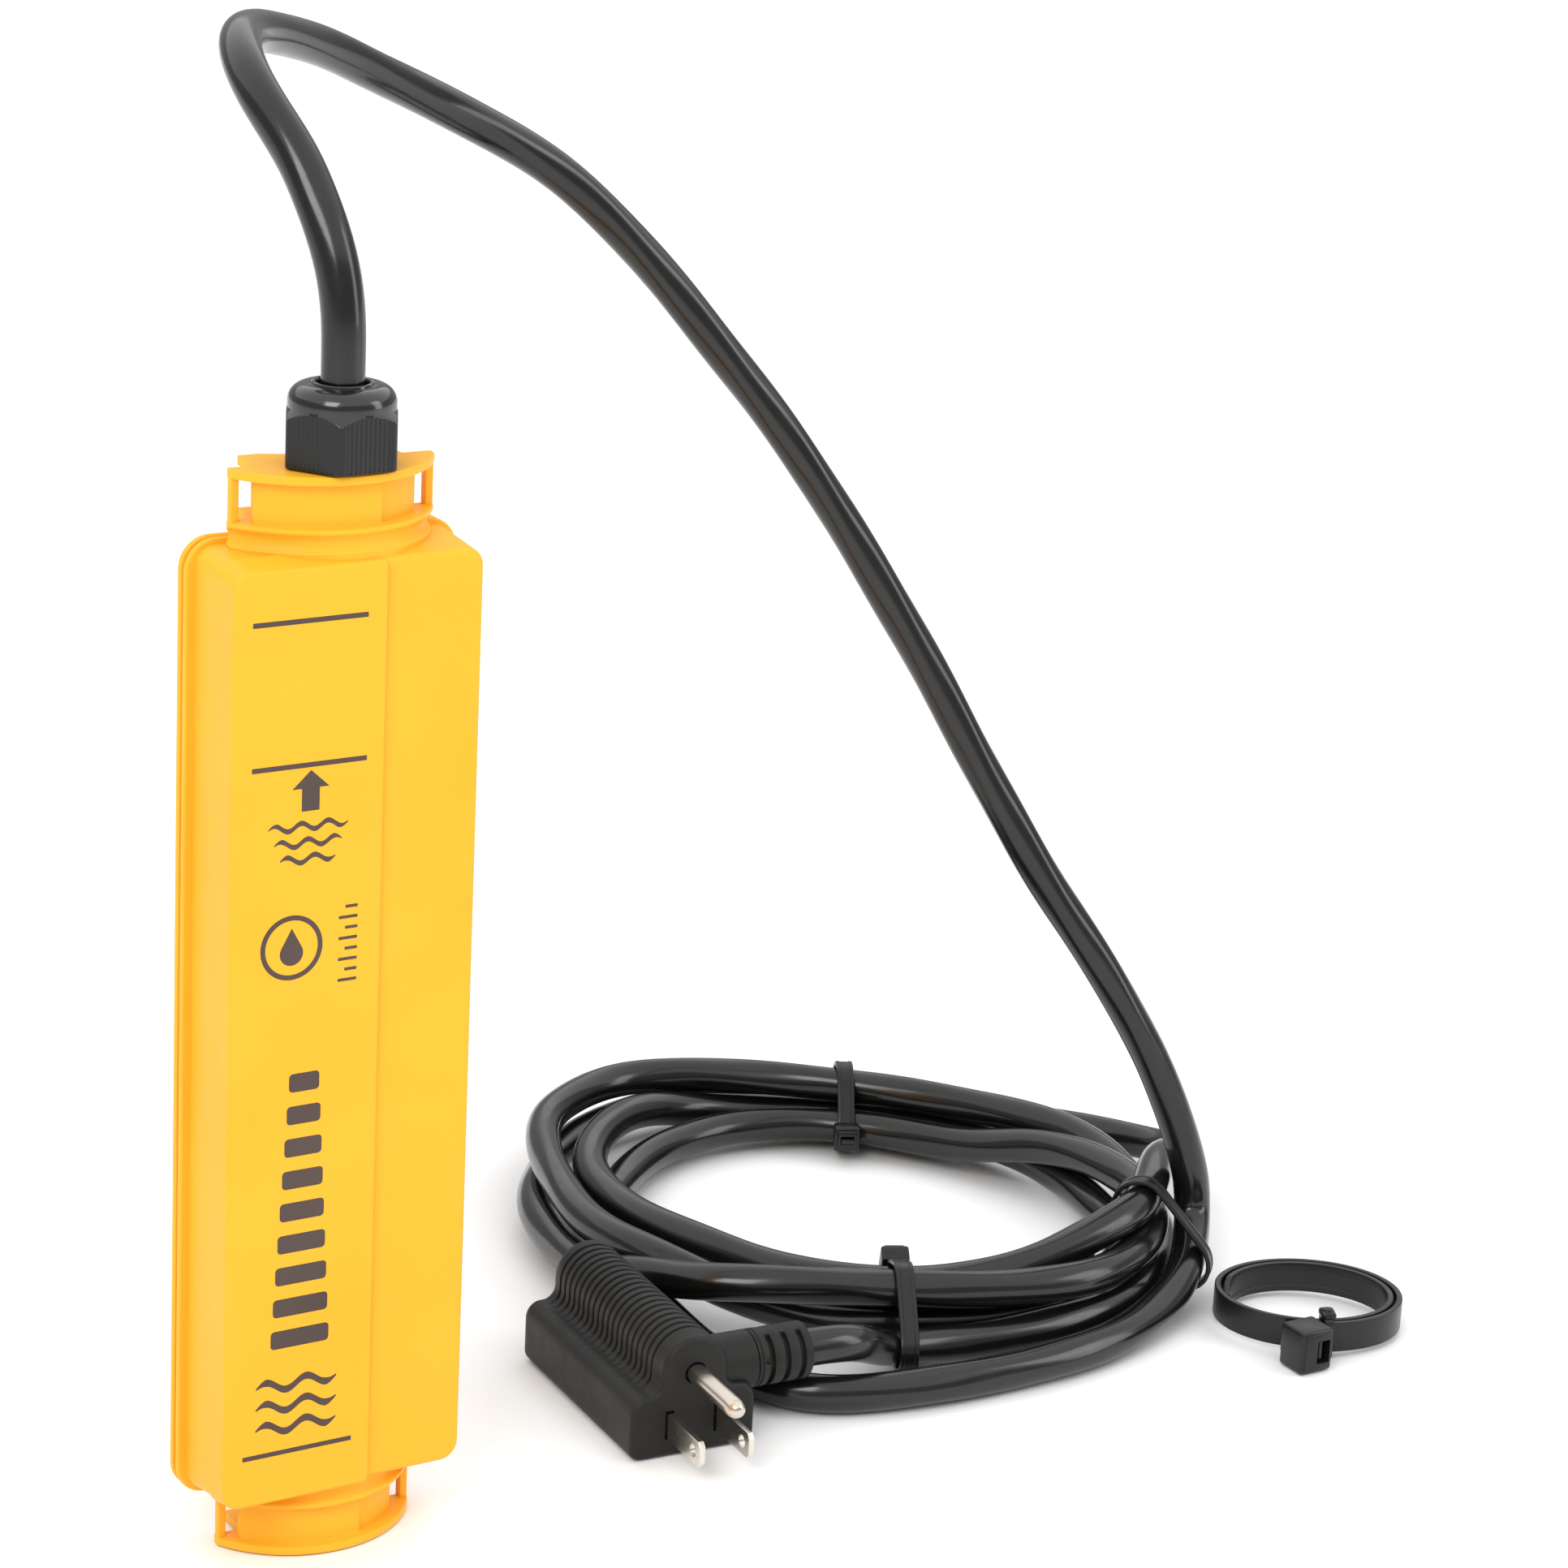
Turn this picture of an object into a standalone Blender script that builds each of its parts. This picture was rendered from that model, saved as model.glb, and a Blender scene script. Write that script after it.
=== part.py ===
"""Solid-state liquid-level switch for a sump pump.

A flat yellow housing with a strap collar at each end stands upright. Its
14/3 cord leaves through a dome-nut gland, arches over and lies in a tied coil
that ends in a piggyback plug. A loose mounting strap lies beside the coil.

Frame: origin under the middle of the housing, on the floor. +X runs along the
label face, +Y from the label face to the pipe side, +Z up. Metres.
"""
import math

import bmesh
import bpy
import numpy as np
from mathutils import Matrix, Vector

for old in list(bpy.data.objects):
    bpy.data.objects.remove(old, do_unlink=True)

MM = 0.001

# ---- housing -------------------------------------------------------------
HEIGHT = 245.2            # floor to the top collar's plate
FACE_Y = -12.8            # label face
STEP_Y = -11.2            # plain strip right of the label face
STEP_X = 6.0              # where the strip begins
BODY_HALF_W = 29.4
FACE_Z = (16.4, 227.3)    # ends of the face at its front edge
FLANGE_Z = (11.9, 229.9)
FLANGE_HALF_W = 31.5
FLANGE_R = 6.0
FLANGE_Y = (6.4, 8.0)
SEAL_Y = (8.3, 8.9)
COVER_Y = (9.2, 10.8)
BACK_Y = 12.9             # pads that meet the pipe
WALL = 2.2
CAVITY_FRONT = -9.0
PIPE_AXIS_Y, PIPE_R = 35.1, 24.45

COLLAR_AXIS_Y = 15.4      # centre of the collar's front arc
LIP_R, DRUM_R = 26.9, 24.5
LIP_T, CHANNEL_Z = 2.0, 11.2
COLLAR_HALF_W = 23.4
POST = (21.5, 23.4, 2.3, 4.3)
PLATE = (16.8, 13.6)      # the plates behind the posts: half width, back
DRUM_STEP = 0.9           # the drum steps back right of the label face

# ---- gland ---------------------------------------------------------------
GLAND_Y = -1.0
NUT_FLATS = 23.0
NUT_Z = (245.5, 262.5)
NUT_VERTEX_DEG = -116.3
CORD_R = 4.7

# ---- plug ----------------------------------------------------------------
PLUG_X, PLUG_Y = 96.1, (-4.5, 58.0)
PLUG_HALF_W = 16.1
PLUG_TURN_DEG = -4.2      # the plug lies a little askew
BLADE_Z, PIN_Z = 8.1, 20.4
CORD_EXIT = (114.0, 4.0, 17.5)
RELIEF_END_X = 128.6

# ---- loose strap ---------------------------------------------------------
STRAP_C = (273.6, -7.0)
STRAP_R = 23.9
STRAP_T, STRAP_Z = 1.5, (1.5, 9.4)

part = bpy.data.collections.new("level_switch")
cutters = bpy.data.collections.new("cutters")
for coll in (part, cutters):
    bpy.context.scene.collection.children.link(coll)


# ---- helpers -------------------------------------------------------------
def material(name, rgb, rough, metal=0.0):
    m = bpy.data.materials.new(name)
    m.use_nodes = True
    shader = m.node_tree.nodes["Principled BSDF"]
    shader.inputs["Base Color"].default_value = (*rgb, 1.0)
    shader.inputs["Roughness"].default_value = rough
    shader.inputs["Metallic"].default_value = metal
    m.diffuse_color = (*rgb, 1.0)
    return m


def place(obj, mat=None):
    """Put an object in the part, or among the cutters when it has no material."""
    (part if mat else cutters).objects.link(obj)
    if mat:
        obj.data.materials.append(mat)
    else:
        obj.hide_render = True
        obj.display_type = "WIRE"
    return obj


def from_bmesh(name, bm, mat=None, smooth=False):
    bmesh.ops.recalc_face_normals(bm, faces=bm.faces)
    mesh = bpy.data.meshes.new(name)
    bm.to_mesh(mesh)
    bm.free()
    if smooth:
        mesh.shade_smooth()
        mesh.set_sharp_from_angle(angle=math.radians(35))
    return place(bpy.data.objects.new(name, mesh), mat)


def block(name, x, y, z, mat=None, bevel=0.0, segments=2):
    bm = bmesh.new()
    bmesh.ops.create_cube(bm, size=1.0)
    size = Vector((x[1] - x[0], y[1] - y[0], z[1] - z[0])) * MM
    mid = Vector((x[0] + x[1], y[0] + y[1], z[0] + z[1])) * 0.5 * MM
    bmesh.ops.scale(bm, vec=size, verts=bm.verts)
    bmesh.ops.translate(bm, vec=mid, verts=bm.verts)
    if bevel:
        bmesh.ops.bevel(bm, geom=list(bm.edges), offset=bevel * MM, segments=segments,
                        profile=0.5, affect="EDGES")
    return from_bmesh(name, bm, mat)


def rod(name, start, end, radius, mat=None, sides=24, radius2=None):
    """A cylinder or cone from start to end."""
    a, b = Vector(start) * MM, Vector(end) * MM
    turn = (b - a).to_track_quat("Z", "Y").to_matrix().to_4x4()
    bm = bmesh.new()
    bmesh.ops.create_cone(bm, cap_ends=True, segments=sides, radius1=radius * MM,
                          radius2=(radius if radius2 is None else radius2) * MM,
                          depth=(b - a).length,
                          matrix=Matrix.Translation((a + b) / 2) @ turn)
    return from_bmesh(name, bm, mat, smooth=True)


def turned(name, profile, mat=None, steps=32, origin=(0, 0, 0), rotation=(0, 0, 0)):
    """A profile of (radius, height) turned about local Z with a Screw modifier.
    The profile runs down the outer side; a ring closes on itself."""
    bm = bmesh.new()
    verts = [bm.verts.new((r * MM, 0, z * MM)) for r, z in profile]
    for a, b in zip(verts, verts[1:]):
        bm.edges.new((a, b))
    if profile[0][0] > 0:
        bm.edges.new((verts[-1], verts[0]))
    mesh = bpy.data.meshes.new(name)
    bm.to_mesh(mesh)
    bm.free()
    obj = place(bpy.data.objects.new(name, mesh), mat)
    obj.location = Vector(origin) * MM
    obj.rotation_euler = rotation
    screw = obj.modifiers.new("turn", "SCREW")
    screw.steps = screw.render_steps = steps
    screw.use_merge_vertices = True
    screw.merge_threshold = 0.00001
    screw.use_smooth_shade = True
    return obj


def outline(name, loops, low, high, mat=None, upright=False, spin=0.0, at=(0, 0, 0)):
    """Flat outlines in mm, thickened from low to high. Flat outlines lie in XY;
    upright ones lie in XZ and thicken along Y, then turn by spin about Z."""
    curve = bpy.data.curves.new(name, "CURVE")
    curve.dimensions = "2D"
    curve.fill_mode = "BOTH"
    curve.extrude = (high - low) / 2 * MM
    for loop in loops:
        spline = curve.splines.new("POLY")
        spline.points.add(len(loop) - 1)
        for point, (a, b) in zip(spline.points, loop):
            point.co = (a * MM, b * MM, 0, 1)
        spline.use_cyclic_u = True
    obj = bpy.data.objects.new(name, curve)
    bpy.context.scene.collection.objects.link(obj)
    mid = (low + high) / 2 * MM
    base = Matrix.Translation(Vector(at) * MM) @ Matrix.Rotation(spin, 4, "Z")
    if upright:
        obj.matrix_world = base @ Matrix.Translation((0, mid, 0)) @ Matrix.Rotation(math.pi / 2, 4, "X")
    else:
        obj.matrix_world = base @ Matrix.Translation((0, 0, mid))
    return curve_to_mesh(obj, mat)


def curve_to_mesh(obj, mat):
    bpy.context.view_layer.update()
    graph = bpy.context.evaluated_depsgraph_get()
    mesh = bpy.data.meshes.new_from_object(obj.evaluated_get(graph))
    bm = bmesh.new()
    bm.from_mesh(mesh)
    bmesh.ops.remove_doubles(bm, verts=bm.verts, dist=0.00001)
    bmesh.ops.recalc_face_normals(bm, faces=bm.faces)
    bm.to_mesh(mesh)
    bm.free()
    mesh.materials.clear()
    solid = bpy.data.objects.new(obj.name, mesh)
    solid.matrix_world = obj.matrix_world.copy()
    name = obj.name
    bpy.data.objects.remove(obj, do_unlink=True)
    solid.name = name
    return place(solid, mat)


def wire(name, points, radius, mat, resolution=2):
    """A round wire through points, as a POLY spline."""
    curve = bpy.data.curves.new(name, "CURVE")
    curve.dimensions = "3D"
    curve.bevel_depth = radius * MM
    curve.bevel_resolution = resolution
    curve.use_fill_caps = True
    spline = curve.splines.new("POLY")
    spline.points.add(len(points) - 1)
    for point, co in zip(spline.points, points):
        point.co = (co[0] * MM, co[1] * MM, co[2] * MM, 1)
    return place(bpy.data.objects.new(name, curve), mat)


def boolean(obj, operand, operation="DIFFERENCE"):
    mod = obj.modifiers.new(operand.name, "BOOLEAN")
    mod.operation = operation
    mod.solver = "EXACT"
    mod.object = operand
    return obj


def arc(cx, cy, r, start, end, n):
    return [(cx + r * math.cos(math.radians(start + (end - start) * i / n)),
             cy + r * math.sin(math.radians(start + (end - start) * i / n)))
            for i in range(n + 1)]


def rounded(x0, x1, z0, z1, r, n=5):
    return (arc(x1 - r, z0 + r, r, -90, 0, n) + arc(x1 - r, z1 - r, r, 0, 90, n)
            + arc(x0 + r, z1 - r, r, 90, 180, n) + arc(x0 + r, z0 + r, r, 180, 270, n))


def axis_empty(name, at, children):
    """An empty on a joint's axis that carries the moving pieces."""
    empty = bpy.data.objects.new(name, None)
    part.objects.link(empty)
    empty.location = Vector(at) * MM
    bpy.context.view_layer.update()
    for child in children:
        child.parent = empty
        child.matrix_parent_inverse = empty.matrix_world.inverted()
    return empty


YELLOW = material("yellow_abs", (0.90, 0.46, 0.035), 0.38)
BLACK_NYLON = material("black_nylon", (0.018, 0.018, 0.02), 0.34)
BLACK_PVC = material("black_pvc", (0.022, 0.022, 0.024), 0.30)
PLUG_PVC = material("plug_pvc", (0.030, 0.030, 0.032), 0.55)
SEAL_TPE = material("seal_tpe", (0.62, 0.27, 0.02), 0.6)
RUBBER = material("black_rubber", (0.02, 0.02, 0.02), 0.75)
BRASS = material("nickel_brass", (0.70, 0.66, 0.55), 0.28, 1.0)
COPPER = material("copper_foil", (0.80, 0.42, 0.25), 0.35, 1.0)
BOARD = material("board_green", (0.03, 0.22, 0.09), 0.45)
ALUMINIUM = material("aluminium", (0.75, 0.76, 0.78), 0.35, 1.0)
EPOXY = material("black_epoxy", (0.03, 0.03, 0.035), 0.5)
BLUE = material("varistor_blue", (0.03, 0.10, 0.45), 0.4)
RED = material("capacitor_red", (0.45, 0.03, 0.02), 0.4)
GREEN = material("terminal_green", (0.02, 0.30, 0.10), 0.45)
WIRE_BLACK = material("wire_black", (0.03, 0.03, 0.03), 0.4)
WIRE_WHITE = material("wire_white", (0.80, 0.80, 0.78), 0.4)
WIRE_RED = material("wire_red", (0.60, 0.03, 0.03), 0.4)


# ---- housing -------------------------------------------------------------
def collar(name, at_top):
    """Strap collar: two lips and a curved drum between them, with end posts."""
    def z(v):
        return HEIGHT - v if at_top else v
    side = [(LIP_R, 0.0), (LIP_R, LIP_T), (DRUM_R, LIP_T), (DRUM_R, CHANNEL_Z),
            (LIP_R, CHANNEL_Z), (LIP_R, CHANNEL_Z + 1.2), (26.3, 13.6), (25.8, 15.2), (25.6, 20.0)]
    rows = [(r, z(v)) for r, v in side]
    rows = [(0.0, rows[0][1])] + rows + [(0.0, rows[-1][1])]
    if not at_top:
        rows.reverse()
    spool = turned(name, rows, steps=60, origin=(0, COLLAR_AXIS_Y, 0))
    lo, hi = sorted((z(-3), z(25)))
    w, back, (narrow, rear) = COLLAR_HALF_W, POST[3], PLATE
    plan = [(-w, -20), (w, -20), (w, back), (narrow, back), (narrow, rear), (-narrow, rear), (-narrow, back), (-w, back)]
    boolean(spool, outline(name + "_plan", [plan], lo, hi), "INTERSECT")
    lo, hi = sorted((z(LIP_T - 0.1), z(CHANNEL_Z + 0.1)))
    for side_name, s in (("left", -1), ("right", 1)):
        end, heel = (19.3, 1.4) if s < 0 else (17.5, 1.4)
        plan = [(end, -16), (end, heel), (12.0, 6.2), (12.0, 16), (26, 16), (26, POST[3]), (POST[0], POST[3]),
                (POST[0], -16)]
        if s > 0:
            r = DRUM_R - DRUM_STEP
            step = [(x, COLLAR_AXIS_Y - math.sqrt(r * r - x * x)) for x in np.linspace(STEP_X, end, 9)]
            plan = [(STEP_X, -16)] + step + plan[1:]
        plan = [(s * x, y) for x, y in plan]
        boolean(spool, outline(f"{name}_window_{side_name}", [plan], lo, hi))
        xs = sorted((s * POST[0], s * POST[1]))
        pz = sorted((z(LIP_T - 0.6), z(CHANNEL_Z + 0.6)))
        boolean(spool, block(f"{name}_post_{side_name}", xs, POST[2:], pz), "UNION")
    return spool


def front_shell(name, mat=None):
    """The tray: narrower at its face than at its flange, on all four sides."""
    bm = bmesh.new()
    bmesh.ops.create_cube(bm, size=1.0)
    for v in bm.verts:
        front = v.co.y < 0
        v.co.x = math.copysign(BODY_HALF_W - (0.2 if front else 0.0), v.co.x)
        top = v.co.z > 0
        v.co.y = FACE_Y if front else FLANGE_Y[1]
        v.co.z = FACE_Z[int(top)] if front else (FLANGE_Z[1] - 1.2 if top else FLANGE_Z[0] + 1.2)
    edges = [e for e in bm.edges if all(v.co.y < 0 for v in e.verts)]
    edges += [e for e in bm.edges if (e.verts[0].co.y < 0) != (e.verts[1].co.y < 0)]
    bmesh.ops.bevel(bm, geom=edges, offset=1.8, segments=3, profile=0.5, affect="EDGES")
    bmesh.ops.scale(bm, vec=(MM, MM, MM), verts=bm.verts)
    return from_bmesh(name, bm, mat)


housing = front_shell("housing_body", mat=YELLOW)
boolean(housing, block("face_step", (STEP_X, 40), (-30, STEP_Y), (15, 229)))
boolean(housing, outline("flange", [rounded(-FLANGE_HALF_W, FLANGE_HALF_W, *FLANGE_Z, FLANGE_R)],
                         *FLANGE_Y, upright=True), "UNION")
boolean(housing, collar("collar_bottom", False), "UNION")
boolean(housing, collar("collar_top", True), "UNION")
boolean(housing, rod("gland_spigot", (0, GLAND_Y, HEIGHT - 1), (0, GLAND_Y, NUT_Z[0] + 11.6), 9.6), "UNION")
boolean(housing, block("cover_seat", (-45, 45), (FLANGE_Y[1], 30), (FLANGE_Z[0] - 0.8, FLANGE_Z[1] + 0.4)))
boolean(housing, block("inner_space", (-26.6, 26.6), (CAVITY_FRONT, 12), (19.2, 224.8)))
for i, (px, pz) in enumerate(((-21, 30), (21, 30), (-21, 211), (21, 211))):
    boolean(housing, rod(f"board_post_{i}", (px, CAVITY_FRONT - 1, pz), (px, 5.2, pz), 2.2, sides=12), "UNION")
boolean(housing, rod("cord_bore", (0, GLAND_Y, 215), (0, GLAND_Y, 251), 5.3))
boolean(housing, rod("seal_bore", (0, GLAND_Y, 247), (0, GLAND_Y, 259), 8.0))
boolean(housing, rod("pipe_saddle", (0, PIPE_AXIS_Y, -5), (0, PIPE_AXIS_Y, HEIGHT + 5), PIPE_R, sides=96))

cover = outline("rear_cover", [rounded(-FLANGE_HALF_W, FLANGE_HALF_W, *FLANGE_Z, FLANGE_R)],
                *COVER_Y, mat=YELLOW, upright=True)
for side_name, s in (("left", -1), ("right", 1)):
    boolean(cover, block(f"pipe_pad_{side_name}", sorted((s * 9.6, s * 13.2)), (COVER_Y[0] + 0.6, BACK_Y),
                         (22, 220)), "UNION")

outline("cover_seal", [rounded(-FLANGE_HALF_W + 0.5, FLANGE_HALF_W - 0.5, FLANGE_Z[0] + 0.5, FLANGE_Z[1] - 0.5, FLANGE_R - 0.5),
                       rounded(-FLANGE_HALF_W + 2.9, FLANGE_HALF_W - 2.9, FLANGE_Z[0] + 2.9, FLANGE_Z[1] - 2.9, FLANGE_R - 2.9)],
        *SEAL_Y, mat=SEAL_TPE, upright=True)

# ---- gland: nut, clamp ring and rubber bushing around the cord -------------
gz = NUT_Z[0]
nut_side = [(0.0, 262.5), (7.0, 262.5), (8.6, 262.2), (10.2, 261.3), (11.4, 259.9), (12.2, 257.7), (12.9, 255.3),
            (13.6, 252.6), (13.6, gz), (0.0, gz)]
nut = turned("gland_nut", nut_side, BLACK_NYLON, steps=48, origin=(0, GLAND_Y, 0))
hexagon = rod("nut_hexagon", (0, GLAND_Y, gz - 2), (0, GLAND_Y, 266), NUT_FLATS / math.sqrt(3), sides=6)
turn = math.radians(NUT_VERTEX_DEG)
for v in hexagon.data.vertices:
    x, y = v.co.x, v.co.y - GLAND_Y * MM
    a = math.atan2(y, x)
    k = round((a - turn) / (math.pi / 3))
    r = math.hypot(x, y)
    v.co.x, v.co.y = r * math.cos(turn + k * math.pi / 3), GLAND_Y * MM + r * math.sin(turn + k * math.pi / 3)
boolean(nut, hexagon, "INTERSECT")
boolean(nut, rod("nut_bore", (0, GLAND_Y, gz - 1), (0, GLAND_Y, 258.0), 10.0))
boolean(nut, rod("nut_cone", (0, GLAND_Y, 257.1), (0, GLAND_Y, 260.5), 9.6, radius2=6.4))
boolean(nut, rod("nut_mouth", (0, GLAND_Y, 257), (0, GLAND_Y, 264), 5.5))
collet = turned("gland_clamp_ring", [(7.6, 257.7), (7.6, 256.0), (5.05, 256.0), (5.05, 259.7), (6.2, 259.7)],
                BLACK_NYLON, steps=28, origin=(0, GLAND_Y, 0))
turned("gland_bushing", [(7.7, 255.6), (7.7, 247.5), (5.05, 247.5), (5.05, 255.6)], RUBBER, steps=28,
       origin=(0, GLAND_Y, 0))
axis_empty("gland_axis", (0, GLAND_Y, gz), [nut, collet])

# ---- cord ----------------------------------------------------------------
COIL_X, COIL_Y, COIL_TURN = 194.9, 76.3, 31.5
COIL_LOW = 6.6
DRAWN_IN = 0.991         # the ties draw every turn in by this much
# the cord's free loop: bushing, rise, tight bend, long fall to the coil
FREE_LOOP = [
    (0, -1, 217), (0, -1, 248), (0, -1, 264), (0, -0.5, 277), (-0.5, 2.5, 288), (-2, 8, 298), (-4, 15, 307.5),
    (-6, 24, 315.5), (-5.5, 36, 322), (-0.5, 50, 325.5), (8.5, 63.5, 325.5), (23.5, 78, 322), (44, 92.5, 315),
    (68, 104, 304.5), (91.5, 109, 293.5), (112, 106.5, 280.5), (130.5, 100, 262), (148.5, 91.5, 239),
    (165, 83.5, 216), (180.5, 75.5, 190.5), (195, 67, 164), (208.5, 58, 136.5), (224, 48, 107),
    (238.5, 40.5, 83.5), (250.5, 35.5, 61.5), (258.5, 32, 42.5), (262, 29.5, 28)]
# the coil's turns, each row: (angle round the coil, radius, height)
TURN_1 = [(4, 83.5, 18.5), (16, 84, 11.5), (32, 83.5, 7), (50, 83.5, 5.2), (73, 87.5, 5), (90, 96, 5), (102, 101, 5),
          (113, 96, 5), (127, 86, 5.6), (142, 80, 6.6), (160, 75, 6.6), (180, 72, 6.6), (200, 71.5, 6.6),
          (222, 75, 6.6), (246, 76.5, 6.6), (270, 71.5, 6.6), (296, 66, 8), (318, 66.5, 14), (340, 70, 16.4)]
TURN_2 = [(0, 72.5, 16.4), (30, 71.5, 16.4), (55, 68, 16.4), (86, 66, 16.4), (103, 72, 16.4), (116, 82, 16),
          (128, 91, 13.5), (140, 92.5, 9), (153, 90, 6.6), (175, 90, 6.6), (195, 92, 6.6), (220, 98, 6.6),
          (245, 98.5, 6.6), (270, 92, 6.6), (295, 95, 6.6), (312, 103, 6.6), (322, 105, 8.5), (332, 99, 14),
          (343, 86, 21.5), (354, 76.5, 26)]
TURN_3 = [(16, 72.5, 25.5), (34, 66.5, 22), (56, 61, 17), (86, 57.5, 14.8), (115, 54.5, 14.6), (139, 56, 15.6),
          (159, 63, 16.4), (177, 70, 16.4), (193, 76.5, 16.4), (210, 82, 16.2), (227, 88, 13), (243, 89, 8),
          (265, 83, 6.6), (290, 77, 6.6), (318, 69, 6.6), (342, 66, 6.6)]
TURN_4 = [(0, 67, 6.6), (25, 65, 6.6), (50, 61, 6.6), (86, 59, 6.6), (110, 63, 7.5), (128, 71, 12.5),
          (143, 78, 16.2), (160, 80.5, 16.2), (178, 83.5, 16.2), (190, 88.5, 16.2), (204, 96.5, 16.2),
          (216, 100.5, 16.2), (227, 100.5, 16.2), (240, 93, 16.2), (266, 79.5, 15.8), (290, 75, 15.8),
          (313, 76.5, 15.8), (328, 76.5, 14), (344, 76, 9.5)]
TURN_5 = [(0, 75.5, 6.8), (25, 73, 6.6), (47, 70, 6.6), (70, 69.5, 6.6)]
PLUG_LEAD = [(155, 9, 10.3), (147, 4.6, 14.6), (139, 2.45, 17)]
PLUG_LEAD += [(x, 4 + (x - 114) * math.tan(math.radians(PLUG_TURN_DEG)), 17.5) for x in (131.5, 124.5, 117.3)]


def smooth_path(points, spacing):
    """A natural cubic spline through points, at even spacing."""
    p = np.array(points, float)
    t = np.r_[0, np.cumsum(np.sqrt(np.linalg.norm(np.diff(p, axis=0), axis=1)))]
    n, h = len(p), np.diff(t)
    lhs, rhs = np.eye(n), np.zeros((n, 3))
    for i in range(1, n - 1):
        lhs[i, i - 1:i + 2] = [h[i - 1], 2 * (h[i - 1] + h[i]), h[i]]
        rhs[i] = 6 * ((p[i + 1] - p[i]) / h[i] - (p[i] - p[i - 1]) / h[i - 1])
    m = np.linalg.solve(lhs, rhs)

    def at(x):
        i = np.clip(np.searchsorted(t, x) - 1, 0, n - 2)
        a, b, g = (t[i + 1] - x)[:, None], (x - t[i])[:, None], h[i][:, None]
        return (m[i] * a**3 + m[i + 1] * b**3) / (6 * g) + (p[i] / g - m[i] * g / 6) * a \
            + (p[i + 1] / g - m[i + 1] * g / 6) * b

    fine = np.linspace(0, t[-1], 4000)
    q = at(fine)
    s = np.r_[0, np.cumsum(np.linalg.norm(np.diff(q, axis=0), axis=1))]
    return at(np.interp(np.linspace(0, s[-1], int(round(s[-1] / spacing)) + 1), s, fine))


PLUG_COS, PLUG_SIN = math.cos(math.radians(PLUG_TURN_DEG)), math.sin(math.radians(PLUG_TURN_DEG))


def plug_frame(points):
    """Points in the plug's own axes: place along its length, and across from its middle."""
    dx, dy = points[:, 0] - CORD_EXIT[0], points[:, 1] - CORD_EXIT[1]
    return CORD_EXIT[1] - dx * PLUG_SIN + dy * PLUG_COS, CORD_EXIT[0] + dx * PLUG_COS + dy * PLUG_SIN - PLUG_X


def cord_path(spacing=8.5, gap=0.5, rounds=400):
    """The cord's centre line. Turns that would touch are moved apart evenly."""
    points = list(FREE_LOOP)
    for number, rows in enumerate((TURN_1, TURN_2, TURN_3, TURN_4, TURN_5)):
        for deg, radius, height in rows:
            a = -math.radians(deg + 360 * number + COIL_TURN)
            r = radius * DRAWN_IN
            points.append((COIL_X + r * math.cos(a), COIL_Y + r * math.sin(a), height))
    home = smooth_path(points + PLUG_LEAD, spacing)
    q, n = home.copy(), len(home)
    radius = np.full(n, CORD_R)
    radius[-3:] = 7.3
    fixed = np.zeros(n, bool)
    fixed[:int(np.argmax((q[:, 2] < 50) & (q[:, 0] > 195)))] = True
    fixed[-4:] = True
    floor = np.minimum(home[:, 2], COIL_LOW)
    i, j = np.triu_indices(n, 6)
    need = radius[i] + radius[j] + gap
    for _ in range(rounds):
        d = q[j] - q[i]
        dist = np.linalg.norm(d, axis=1)
        near = dist < need
        push = np.zeros_like(q)
        move = d[near] / dist[near][:, None] * (need[near] - dist[near])[:, None] * 0.25
        np.add.at(push, i[near], -move)
        np.add.at(push, j[near], move)
        shift = q + push - home
        if _ < rounds * 0.8:
            shift[1:-1] += 0.45 * ((shift[2:] + shift[:-2]) / 2 - shift[1:-1])
        shift[fixed] = 0
        q = home + shift
        q[:, 2] = np.maximum(q[:, 2], floor)
        # keep every strand clear of the plug, sideways or behind it
        along, across = plug_frame(q)
        side, rear = PLUG_HALF_W + 6.0 - across, PLUG_Y[1] + 6.1 - along
        inside = (side > 0) & (across > -22) & (rear > 0) & (along > -9) & (q[:, 2] < 36) & ~fixed
        out = np.where(side < rear, side, 0.0), np.where(side < rear, 0.0, rear)
        q[inside, 0] += (out[0] * PLUG_COS - out[1] * PLUG_SIN)[inside]
        q[inside, 1] += (out[0] * PLUG_SIN + out[1] * PLUG_COS)[inside]
    return q


cord = cord_path()
wire("power_cord", cord, CORD_R, BLACK_PVC)


# ---- coil ties -----------------------------------------------------------
def hull(points):
    """Convex hull of 2-D points, anticlockwise."""
    pts = sorted(set(points))
    out = []
    for seq in (pts, pts[::-1]):
        chain = []
        for p in seq:
            while len(chain) > 1 and ((chain[-1][0] - chain[-2][0]) * (p[1] - chain[-2][1])
                                      - (chain[-1][1] - chain[-2][1]) * (p[0] - chain[-2][0])) <= 0:
                chain.pop()
            chain.append(p)
        out += chain[:-1]
    return out


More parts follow.
